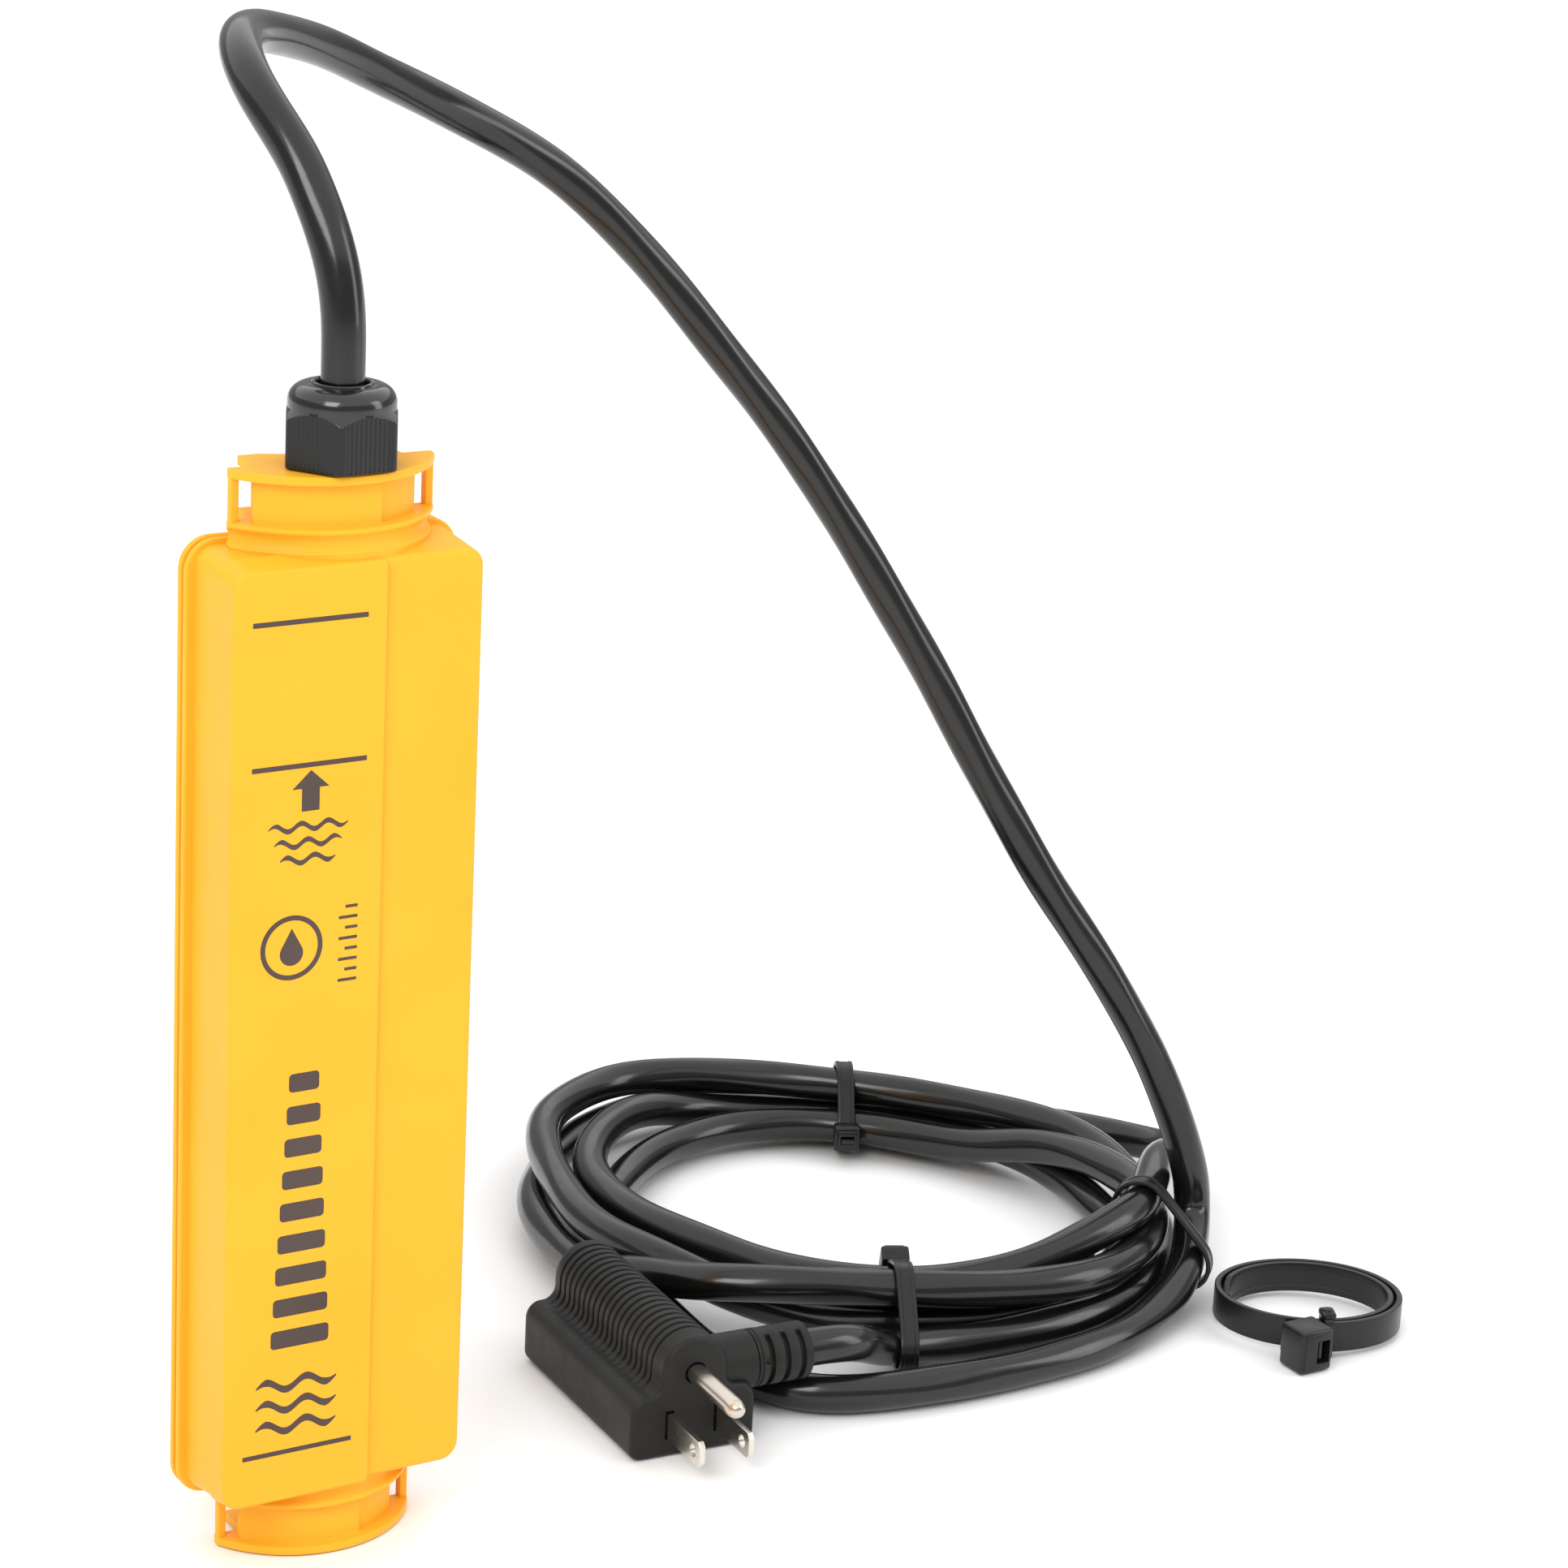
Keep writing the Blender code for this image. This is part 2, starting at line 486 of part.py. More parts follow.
def coil_tie(name, deg, reach, head_deg, width=4.6, thick=1.3, clear=0.55):
    """A band drawn round the strands that cross one side of the coil."""
    a = -math.radians(deg + COIL_TURN)
    radial = np.array([math.cos(a), math.sin(a), 0.0])
    along = np.array([-math.sin(a), math.cos(a), 0.0])
    fine = smooth_path(cord, 1.0)
    rel = fine - np.array([COIL_X, COIL_Y, 0.0])
    u, v = rel @ along, rel @ radial
    pick = (np.abs(u) < width / 2 + 0.8) & (v > 20) & (v < reach) & (fine[:, 2] < 60)
    ring = [(r * math.cos(t), r * math.sin(t)) for r in (CORD_R + clear,)
            for t in np.linspace(0, 2 * math.pi, 17)[:-1]]
    inner = hull([(round(float(x + dx), 3), round(float(z + dz), 3))
                  for x, z in zip(v[pick], fine[pick][:, 2]) for dx, dz in ring])
    # thin the hull to a light polygon, then offset it for the outer side
    keep = [inner[0]]
    for p in inner[1:]:
        if math.dist(p, keep[-1]) > 1.6 and math.dist(p, inner[0]) > 1.2:
            keep.append(p)
    mid = np.mean(inner, axis=0)
    inner = [(mid[0] + (x - mid[0]) * 1.012, max(mid[1] + (z - mid[1]) * 1.012, 1.32)) for x, z in keep]
    outer = []
    for k, p in enumerate(inner):
        a0, a1 = np.array(inner[k - 1]), np.array(inner[(k + 1) % len(inner)])
        t = (a1 - a0) / np.linalg.norm(a1 - a0)
        outer.append((p[0] + t[1] * thick, max(p[1] - t[0] * thick, 0.05)))
    band = outline(name, [outer, inner], -width / 2, width / 2, mat=BLACK_NYLON, upright=True,
                   spin=a, at=(COIL_X, COIL_Y, 0))
    h = math.radians(head_deg)
    want = np.array([math.cos(h), math.sin(h)])
    k = int(np.argmax([(np.array(p) - mid) @ want for p in outer]))
    foot = np.array(outer[k])
    n = np.array([want[0], want[1]])
    c = foot + n * 1.6
    head = block(name + "_head", (-3.6, 3.6), (-3.4, 3.4), (-2.2, 2.2), bevel=0.5, segments=1)
    head.matrix_world = Matrix.Translation(Vector((COIL_X, COIL_Y, 0)) * MM) @ Matrix.Rotation(a, 4, "Z") \
        @ Matrix.Translation(Vector((c[0], 0, c[1])) * MM) @ Matrix.Rotation(math.pi / 2 - h, 4, "Y")
    return boolean(band, head, "UNION")


coil_tie("coil_tie_rear", 265.5, 130, 178)
coil_tie("coil_tie_front", 84, 84, 150)
coil_tie("coil_tie_side", 15, 130, 192)

# ---- plug ----------------------------------------------------------------
half = arc(PLUG_HALF_W - 2.6, 2.6, 2.6, -90, 0, 4) + arc(PLUG_HALF_W - 4.2, 11.4, 4.2, 0, 76, 4) \
    + arc(11.9, 18.8, 3.4, -104, -180, 4) + arc(0, 20.9, 8.5, 0, 90, 8)
shape = half + [(-x, z) for x, z in reversed(half[:-1])]
cutters_so_far = set(cutters.objects.keys())
plug = outline("plug_body", [[(PLUG_X + x, z) for x, z in shape]], *PLUG_Y, mat=PLUG_PVC, upright=True)
boolean(plug, rod("cord_boss", (PLUG_X + 3, CORD_EXIT[1], CORD_EXIT[2]),
                  (CORD_EXIT[0] - 0.3, CORD_EXIT[1], CORD_EXIT[2]), 7.0, sides=32), "UNION")
BLADES = (("neutral_blade", -6.35), ("hot_blade", 6.35))
for blade_name, dx in BLADES:
    x = PLUG_X + dx
    boolean(plug, block(blade_name + "_slot", (x - 1.1, x + 1.1), (-8, 7), (BLADE_Z - 3.6, BLADE_Z + 3.6)))
    blade = block(blade_name, (x - 0.75, x + 0.75), (-22, 6.6), (BLADE_Z - 3.175, BLADE_Z + 3.175), BRASS,
                  bevel=0.3, segments=1)
    boolean(blade, rod(blade_name + "_hole", (x - 3, -18.3, BLADE_Z), (x + 3, -18.3, BLADE_Z), 1.6, sides=16))
boolean(plug, rod("pin_slot", (PLUG_X, -8, PIN_Z), (PLUG_X, 7, PIN_Z), 2.75))
pin_profile = [(0, 27.4), (1.3, 26.9), (2.1, 25.8), (2.4, 24.2), (2.4, -6.6), (0, -6.6)]
turned("ground_pin", pin_profile, BRASS, steps=20, origin=(PLUG_X, 0, PIN_Z), rotation=(math.pi / 2, 0, 0))
for contact, dx, tall in (("neutral_contact", -6.35, 4.6), ("load_contact", 6.35, 3.9)):
    x = PLUG_X + dx
    boolean(plug, block(contact + "_pocket", (x - 1.7, x + 1.7), (34, 60), (BLADE_Z - tall, BLADE_Z + tall)))
    clip = block(contact, (x - 1.4, x + 1.4), (34.4, 56.5), (BLADE_Z - tall + 0.4, BLADE_Z + tall - 0.4), BRASS)
    boolean(clip, block(contact + "_gap", (x - 0.85, x + 0.85), (36, 58), (BLADE_Z - 6, BLADE_Z + 6)))
boolean(plug, rod("ground_pocket", (PLUG_X, 34, PIN_Z), (PLUG_X, 60, PIN_Z), 3.6))
turned("ground_contact", [(3.2, -34.4), (3.2, -56.5), (2.6, -56.5), (2.6, -34.4)], BRASS, steps=20,
       origin=(PLUG_X, 0, PIN_Z), rotation=(math.pi / 2, 0, 0))
r0, r1 = 7.0, 6.9
rings = [(RELIEF_END_X, 0)]
for k in range(3):
    end = RELIEF_END_X - 2.2 - 4.1 * k
    rings += [(end, 0), (end, 1), (end - 1.6, 1), (end - 1.6, 0)]
rings.append((CORD_EXIT[0], 0))
side = []
for x, deep in rings:
    f = (x - CORD_EXIT[0]) / (RELIEF_END_X - CORD_EXIT[0])
    side.append((r0 + (r1 - r0) * f - (1.0 if deep else 0.0), x - CORD_EXIT[0]))
turned("strain_relief", side + [(5.15, 0), (5.15, RELIEF_END_X - CORD_EXIT[0])], PLUG_PVC, steps=24,
       origin=(0, 0, 0), rotation=(0, math.pi / 2, 0))
relief = bpy.data.objects["strain_relief"]
relief.location = Vector(CORD_EXIT) * MM
relief.rotation_euler = (0, math.pi / 2, math.radians(PLUG_TURN_DEG))
plug_parts = [bpy.data.objects[n] for n in ("plug_body", "neutral_blade", "hot_blade", "ground_pin", "neutral_contact",
                                            "load_contact", "ground_contact")]
plug_cutters = [o for o in cutters.objects if o.name not in cutters_so_far]
swing = axis_empty("plug_swing_axis", (CORD_EXIT[0], CORD_EXIT[1], CORD_EXIT[2]), plug_parts + plug_cutters)
swing.rotation_euler.z = math.radians(PLUG_TURN_DEG)

# ---- loose mounting strap and its binder -----------------------------------
sx, sy = STRAP_C
STRAP_FROM, STRAP_TO = 232.0, 232.0 + 640.0


STRAP_LONG, STRAP_SHORT, STRAP_TILT = 1.045, 0.865, math.radians(-31.5)


def lie(x, y):
    """The band's ring lies a little flattened: longer one way, shorter across."""
    c, s = math.cos(STRAP_TILT), math.sin(STRAP_TILT)
    a, b = (x * c + y * s) * STRAP_LONG, (y * c - x * s) * STRAP_SHORT
    return sx + a * c - b * s, sy + a * s + b * c


def strap_side(offset, n=76):
    """One side of the coiled band; the radius shrinks as the band winds in."""
    out = []
    for k in range(n + 1):
        f = k / n
        r = STRAP_R - 2.15 * f * (STRAP_TO - STRAP_FROM) / 360 + offset
        a = math.radians(STRAP_FROM + (STRAP_TO - STRAP_FROM) * f)
        out.append(lie(r * math.cos(a), r * math.sin(a)))
    return out


strap = outline("mounting_strap", [strap_side(0) + strap_side(-STRAP_T)[::-1]], *STRAP_Z, mat=BLACK_NYLON)
hx, hy = sx - 15.8, sy - 20.8
head = block("strap_head", (hx - 4.8, hx + 4.8), (hy - 4.5, hy + 4.5), (0.1, 11.2), bevel=0.5, segments=1)
boolean(strap, head, "UNION")
boolean(strap, block("strap_neck", (hx - 2.5, hx + 4.2), (hy, hy + 7.2), (STRAP_Z[0] + 0.25, STRAP_Z[1] - 0.25)), "UNION")
boolean(strap, block("strap_slot", (hx - 0.4, hx + 3.4), (hy - 6, hy - 0.6), (2.6, 8.6)))

ba = math.radians(244.7)
binder_r = STRAP_R - 1.85
frame_out = rounded(-3.5, 3.5, 0.1, 10.9, 1.2, 3)
frame_in = rounded(-2.4, 2.4, 1.2, 9.75, 0.5, 2)
binder = outline("strap_binder", [frame_out, frame_in], -1.25, 1.25, mat=BLACK_NYLON, upright=True,
                 spin=ba, at=(*lie(binder_r * math.cos(math.radians(246)), binder_r * math.sin(math.radians(246))), 0))
knob = block("binder_head", (-2.4, 2.4), (-1.9, 1.9), (10.3, 12.3), bevel=0.9, segments=2)
knob.matrix_world = binder.matrix_world @ Matrix.Rotation(-math.pi / 2, 4, "X")
boolean(binder, knob, "UNION")
axis_empty("strap_lift_axis", (sx, sy, 0), [strap, binder])

# ---- circuit inside the housing ---------------------------------------------
block("circuit_board", (-25, 25), (5.5, 7.1), (23, 217), BOARD)
block("sensor_pad_upper", (-18, 6), (CAVITY_FRONT + 0.3, CAVITY_FRONT + 0.7), (183, 215), COPPER)
block("sensor_pad_lower", (-18, 6), (CAVITY_FRONT + 0.3, CAVITY_FRONT + 0.7), (24.6, 56), COPPER)
terminal = block("terminal_block", (-13, 13), (-4.5, 5.2), (190, 201), GREEN)
for i, x in enumerate((-8, 0, 8)):
    boolean(terminal, rod(f"terminal_hole_{i}", (x, -0.6, 195), (x, -0.6, 204), 1.9, sides=12))
block("film_capacitor", (7, 24), (-3.6, 5.2), (146, 172), RED, bevel=0.8)
rod("varistor", (-14, 0.8, 172), (-14, 5.2, 172), 7.0, BLUE)
block("triac", (-20, -10), (0.7, 5.2), (117, 133), EPOXY, bevel=0.4, segments=1)
sink = block("heat_sink", (-23, -7), (-5.0, 5.2), (88, 116), ALUMINIUM)
for i in range(3):
    x = -20.2 + 5.2 * i
    boolean(sink, block(f"fin_gap_{i}", (x - 1.3, x + 1.3), (-8, 3.4), (84, 120)))
chip = block("control_chip", (5, 12), (1.9, 5.2), (114, 124), EPOXY)
for label, x, mat in (("line_wire", -8, WIRE_BLACK), ("neutral_wire", 0, WIRE_WHITE), ("load_wire", 8, WIRE_RED)):
    start = np.array([math.copysign(2.6, x) if x else 0.0, GLAND_Y + (0.6 if x else -2.0), 216.2])
    end = np.array([x, -0.6, 196.0])
    pts = []
    for k in range(13):
        f = k / 12
        g = min(f / 0.7, 1.0)
        ease = g * g * (3 - 2 * g)
        pts.append((start[0] + (end[0] - start[0]) * ease, start[1] + (end[1] - start[1]) * ease,
                    start[2] + (end[2] - start[2]) * f))
    wire(label, pts, 1.25, mat, resolution=1)
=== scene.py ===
import math

import bmesh
import bpy
import numpy as np
from mathutils import Matrix, Vector


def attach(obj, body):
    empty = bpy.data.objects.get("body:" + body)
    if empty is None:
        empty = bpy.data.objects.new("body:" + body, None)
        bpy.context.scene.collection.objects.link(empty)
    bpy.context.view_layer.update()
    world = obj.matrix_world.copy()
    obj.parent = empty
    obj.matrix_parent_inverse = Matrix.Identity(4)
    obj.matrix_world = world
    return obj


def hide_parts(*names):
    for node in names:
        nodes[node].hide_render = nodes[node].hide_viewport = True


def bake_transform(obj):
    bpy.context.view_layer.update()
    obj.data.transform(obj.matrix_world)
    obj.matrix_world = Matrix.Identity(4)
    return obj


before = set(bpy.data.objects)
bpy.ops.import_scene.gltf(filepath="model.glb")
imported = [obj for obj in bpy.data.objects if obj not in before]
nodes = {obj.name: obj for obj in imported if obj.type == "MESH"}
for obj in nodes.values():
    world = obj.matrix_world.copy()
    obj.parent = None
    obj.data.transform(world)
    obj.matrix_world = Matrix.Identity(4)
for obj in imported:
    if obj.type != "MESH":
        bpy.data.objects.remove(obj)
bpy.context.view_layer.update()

MM = 0.001


# ---------------------------------------------------------------- materials
class Mat:
    """A node material built step by step."""

    def __init__(self, name, rough=0.4, metal=0.0, specular=0.5, coat=0.0, coat_rough=0.1):
        self.m = bpy.data.materials.new(name)
        self.m.use_nodes = True
        self.t = self.m.node_tree
        self.b = self.t.nodes["Principled BSDF"]
        self.b.inputs["Roughness"].default_value = rough
        self.b.inputs["Metallic"].default_value = metal
        self.b.inputs["Specular IOR Level"].default_value = specular
        self.b.inputs["Coat Weight"].default_value = coat
        self.b.inputs["Coat Roughness"].default_value = coat_rough
        self.coord = self.t.nodes.new("ShaderNodeTexCoord").outputs["Object"]
        self.height = None

    def node(self, kind, **values):
        n = self.t.nodes.new(kind)
        for key, value in values.items():
            if key in n.inputs:
                n.inputs[key].default_value = value
            else:
                setattr(n, key, value)
        return n

    def noise(self, scale, detail=3.0, rough=0.55, stretch=None):
        n = self.node("ShaderNodeTexNoise", Scale=scale, Detail=detail, Roughness=rough)
        if stretch:
            mapping = self.node("ShaderNodeMapping")
            mapping.inputs["Scale"].default_value = stretch
            self.t.links.new(self.coord, mapping.inputs["Vector"])
            self.t.links.new(mapping.outputs[0], n.inputs["Vector"])
        else:
            self.t.links.new(self.coord, n.inputs["Vector"])
        return n.outputs["Fac"]

    def ramp(self, fac, stops):
        r = self.node("ShaderNodeValToRGB")
        el = r.color_ramp.elements
        while len(el) < len(stops):
            el.new(0.5)
        for e, (pos, colour) in zip(el, stops):
            e.position = pos
            e.color = (*colour, 1.0) if len(colour) == 3 else colour
        self.t.links.new(fac, r.inputs["Fac"])
        return r.outputs["Color"]

    def spread(self, fac, low, high):
        r = self.node("ShaderNodeMapRange")
        r.inputs["From Min"].default_value = 0.3
        r.inputs["From Max"].default_value = 0.7
        r.inputs["To Min"].default_value = low
        r.inputs["To Max"].default_value = high
        self.t.links.new(fac, r.inputs["Value"])
        return r.outputs["Result"]

    def colour(self, socket):
        self.t.links.new(socket, self.b.inputs["Base Color"])
        return self

    def roughness(self, socket):
        self.t.links.new(socket, self.b.inputs["Roughness"])
        return self

    def bump(self, socket, strength, distance_mm):
        n = self.node("ShaderNodeBump")
        n.inputs["Strength"].default_value = strength
        n.inputs["Distance"].default_value = distance_mm * MM
        self.t.links.new(socket, n.inputs["Height"])
        if self.height is not None:
            self.t.links.new(self.height, n.inputs["Normal"])
        self.height = n.outputs["Normal"]
        self.t.links.new(self.height, self.b.inputs["Normal"])
        return self


def plastic(name, dark, light, rough, grain=1600.0, grain_mm=0.03, rough_to=None, specular=0.5, coat=0.0,
            coat_rough=0.12):
    """Moulded plastic: soft colour drift, fine surface grain, uneven gloss."""
    m = Mat(name, rough, 0.0, specular, coat, coat_rough)
    drift = m.noise(24.0, 2.0)
    m.colour(m.ramp(drift, [(0.3, dark), (0.7, light)]))
    m.roughness(m.spread(m.noise(180.0, 4.0), rough, rough_to or rough + 0.06))
    m.bump(m.noise(grain, 2.0), 0.35, grain_mm)
    m.bump(m.noise(45.0, 1.0), 0.25, 0.08)
    return m


def metal(name, dark, light, rough, stretch=(200.0, 2400.0, 2400.0), vary=0.14):
    """Plated sheet metal with fine drawing lines and dulled patches."""
    m = Mat(name, rough, 1.0)
    m.colour(m.ramp(m.noise(60.0, 4.0), [(0.35, dark), (0.65, light)]))
    m.roughness(m.spread(m.noise(240.0, 4.0), rough, rough + vary))
    m.bump(m.noise(1.0, 2.0, stretch=stretch), 0.3, 0.01)
    return m


YELLOW = plastic("yellow_abs", (0.93, 0.442, 0.027), (0.96, 0.468, 0.033), 0.36, grain=2200.0, grain_mm=0.02,
                 rough_to=0.44, specular=0.15).m
EDGE = plastic("yellow_abs_edge", (0.90, 0.355, 0.010), (0.94, 0.40, 0.014), 0.40, grain=1500.0, grain_mm=0.04).m
BEAD = plastic("seal_bead", (0.60, 0.20, 0.005), (0.72, 0.27, 0.01), 0.5, grain=700.0, grain_mm=0.06).m
PRINT = plastic("pad_print", (0.058, 0.034, 0.026), (0.074, 0.046, 0.036), 0.5, grain=3000.0, grain_mm=0.01).m
CORD = plastic("cord_pvc", (0.0050, 0.0048, 0.0045), (0.0085, 0.0082, 0.0078), 0.17, grain=900.0, grain_mm=0.025,
               rough_to=0.26, specular=0.42, coat=0.22, coat_rough=0.08).m
NYLON = plastic("nylon", (0.006, 0.006, 0.006), (0.010, 0.010, 0.010), 0.26, grain=1200.0, grain_mm=0.03,
                rough_to=0.36, specular=0.38).m
DOME = plastic("nylon_polished", (0.006, 0.006, 0.007), (0.010, 0.010, 0.011), 0.12, grain=900.0, grain_mm=0.012,
               rough_to=0.2, specular=0.55, coat=0.3, coat_rough=0.06).m
PLUG = plastic("plug_pvc", (0.0095, 0.0092, 0.0085), (0.015, 0.0145, 0.0135), 0.46, grain=1500.0, grain_mm=0.06,
               rough_to=0.56, specular=0.26).m
RUBBER = plastic("rubber", (0.010, 0.010, 0.010), (0.018, 0.018, 0.018), 0.72, grain=900.0, grain_mm=0.06).m
NICKEL = metal("nickel_plate", (0.70, 0.67, 0.60), (0.76, 0.73, 0.67), 0.22, vary=0.05).m
PIN = metal("nickel_pin", (0.62, 0.56, 0.48), (0.70, 0.64, 0.56), 0.22, vary=0.05).m
FOIL = metal("copper_foil", (0.72, 0.32, 0.18), (0.86, 0.45, 0.28), 0.3).m
ALU = metal("aluminium", (0.62, 0.63, 0.65), (0.78, 0.79, 0.81), 0.3).m


def board_material():
    m = Mat("solder_mask", 0.4, 0.0, 0.5)
    brick = m.node("ShaderNodeTexBrick", Scale=160.0)
    brick.inputs["Color1"].default_value = (0.012, 0.13, 0.045, 1)
    brick.inputs["Color2"].default_value = (0.016, 0.16, 0.055, 1)
    brick.inputs["Mortar"].default_value = (0.02, 0.21, 0.08, 1)
    brick.inputs["Mortar Size"].default_value = 0.08
    m.t.links.new(m.coord, brick.inputs["Vector"])
    m.colour(brick.outputs["Color"])
    m.roughness(m.spread(m.noise(300.0), 0.32, 0.45))
    m.bump(brick.outputs["Fac"], 0.3, 0.03)
    return m.m


def repaint(node, mat):
    obj = nodes[node]
    if obj.material_slots:
        for s in obj.material_slots:
            s.material = mat
    else:
        obj.data.materials.append(mat)


# ------------------------------------------------------------------ meshes
def finished(name, bm, mat, smooth=35.0):
    bmesh.ops.recalc_face_normals(bm, faces=bm.faces)
    mesh = bpy.data.meshes.new(name)
    bm.to_mesh(mesh)
    bm.free()
    if smooth:
        mesh.shade_smooth()
        mesh.set_sharp_from_angle(angle=math.radians(smooth))
    obj = bpy.data.objects.new(name, mesh)
    bpy.context.scene.collection.objects.link(obj)
    if mat:
        mesh.materials.append(mat)
    return obj


def loft(name, rings, mat=None, smooth=35.0, ends="cap"):
    """Skin over rings of points in mm. ends: cap, or loop to join last to first."""
    bm = bmesh.new()
    rows = [[bm.verts.new(Vector(p) * MM) for p in ring] for ring in rings]
    n = len(rows[0])
    pairs = list(zip(rows, rows[1:]))
    if ends == "loop":
        pairs.append((rows[-1], rows[0]))
    for a, b in pairs:
        for i in range(n):
            j = (i + 1) % n
            bm.faces.new((a[i], a[j], b[j], b[i]))
    if ends == "cap":
        bm.faces.new(rows[0][::-1])
        bm.faces.new(rows[-1])
    return finished(name, bm, mat, smooth)


def arc(cx, cy, r, start, end, n):
    return [(cx + r * math.cos(math.radians(start + (end - start) * i / n)),
             cy + r * math.sin(math.radians(start + (end - start) * i / n)))
            for i in range(n + 1)]


def rounded(x0, x1, z0, z1, r, n=8):
    """Rounded rectangle; r is one radius or four, from the low-z right corner round."""
    r = (r,) * 4 if isinstance(r, (int, float)) else r
    return (arc(x1 - r[0], z0 + r[0], r[0], -90, 0, n) + arc(x1 - r[1], z1 - r[1], r[1], 0, 90, n)
            + arc(x0 + r[2], z1 - r[2], r[2], 90, 180, n) + arc(x0 + r[3], z0 + r[3], r[3], 180, 270, n))


def inset(poly, d):
    """A closed outline moved inwards by d along its corner normals (anticlockwise)."""
    out = []
    n = len(poly)
    for i, p in enumerate(poly):
        a, b = np.array(poly[i - 1]), np.array(poly[(i + 1) % n])
        p = np.array(p)
        e0, e1 = p - a, b - p
        l0, l1 = np.linalg.norm(e0), np.linalg.norm(e1)
        if l0 < 1e-9 or l1 < 1e-9:
            t = (b - a) / max(np.linalg.norm(b - a), 1e-9)
            out.append((p[0] - t[1] * d, p[1] + t[0] * d))
            continue
        n0, n1 = np.array([-e0[1], e0[0]]) / l0, np.array([-e1[1], e1[0]]) / l1
        m = n0 + n1
        m /= max(np.dot(m, n0), 0.35) if np.linalg.norm(m) > 1e-9 else 1
        out.append((p[0] + m[0] * d, p[1] + m[1] * d))
    return out


def slab(name, outline, low, high, mat=None, edge=0.4, plane="XZ", steps=3, smooth=35.0):
    """An outline thickened between two planes, its edges rounded by edge mm."""
    rows = []
    for k in range(steps + 1):
        t = math.pi / 2 * k / steps
        rows.append((edge * (1 - math.sin(t)), low + edge * (1 - math.cos(t))))
    for k in range(steps + 1):
        t = math.pi / 2 * k / steps
        rows.append((edge * (1 - math.cos(t)), high - edge * (1 - math.sin(t))))
    rings = []
    for d, h in rows:
        ring = inset(outline, d)
        rings.append([(a, h, b) if plane == "XZ" else (a, b, h) for a, b in ring])
    return loft(name, rings, mat, smooth)


def box(name, x, y, z, mat=None, bevel=0.0, segments=2):
    bm = bmesh.new()
    bmesh.ops.create_cube(bm, size=1.0)
    size = Vector((x[1] - x[0], y[1] - y[0], z[1] - z[0])) * MM
    mid = Vector((x[0] + x[1], y[0] + y[1], z[0] + z[1])) * 0.5 * MM
    bmesh.ops.scale(bm, vec=size, verts=bm.verts)
    bmesh.ops.translate(bm, vec=mid, verts=bm.verts)
    if bevel:
        bmesh.ops.bevel(bm, geom=list(bm.edges), offset=bevel * MM, segments=segments, profile=0.5,
                        affect="EDGES")
    return finished(name, bm, mat)


def rod(name, start, end, r, mat=None, sides=48, r2=None):
    a, b = Vector(start) * MM, Vector(end) * MM
    turn = (b - a).to_track_quat("Z", "Y").to_matrix().to_4x4()
    bm = bmesh.new()
    bmesh.ops.create_cone(bm, cap_ends=True, segments=sides, radius1=r * MM,
                          radius2=(r if r2 is None else r2) * MM, depth=(b - a).length,
                          matrix=Matrix.Translation((a + b) / 2) @ turn)
    return finished(name, bm, mat)


def turned(name, profile, origin, mat=None, steps=128, axis="Z", r_of=None, ends=True):
    """A profile of (radius, height) carried round an axis. r_of may vary the radius
    with the angle. A profile that starts off the axis closes on itself as a ring."""
    o = Vector(origin)
    ring_shape = profile[0][0] > 1e-6
    rows = []
    for r, h in profile:
        row = []
        for k in range(steps):
            a = 2 * math.pi * k / steps
            rr = r_of(r, h, a) if r_of else r
            u, v = rr * math.cos(a), rr * math.sin(a)
            p = {"Z": (u, v, h), "X": (h, u, v), "Y": (u, h, v)}[axis]
            row.append(tuple(o[i] + p[i] for i in range(3)))
        rows.append(row)
    if ring_shape:
        return loft(name, rows, mat, ends="loop")
    bm = bmesh.new()
    first, last = bm.verts.new(Vector(rows[0][0]) * MM), bm.verts.new(Vector(rows[-1][0]) * MM)
    loops = [[bm.verts.new(Vector(p) * MM) for p in row] for row in rows[1:-1]]
    for a, b in zip(loops, loops[1:]):
        for i in range(steps):
            j = (i + 1) % steps
            bm.faces.new((a[i], a[j], b[j], b[i]))
    for i in range(steps):
        j = (i + 1) % steps
        bm.faces.new((first, loops[0][j], loops[0][i]))
        bm.faces.new((last, loops[-1][i], loops[-1][j]))
    return finished(name, bm, mat)


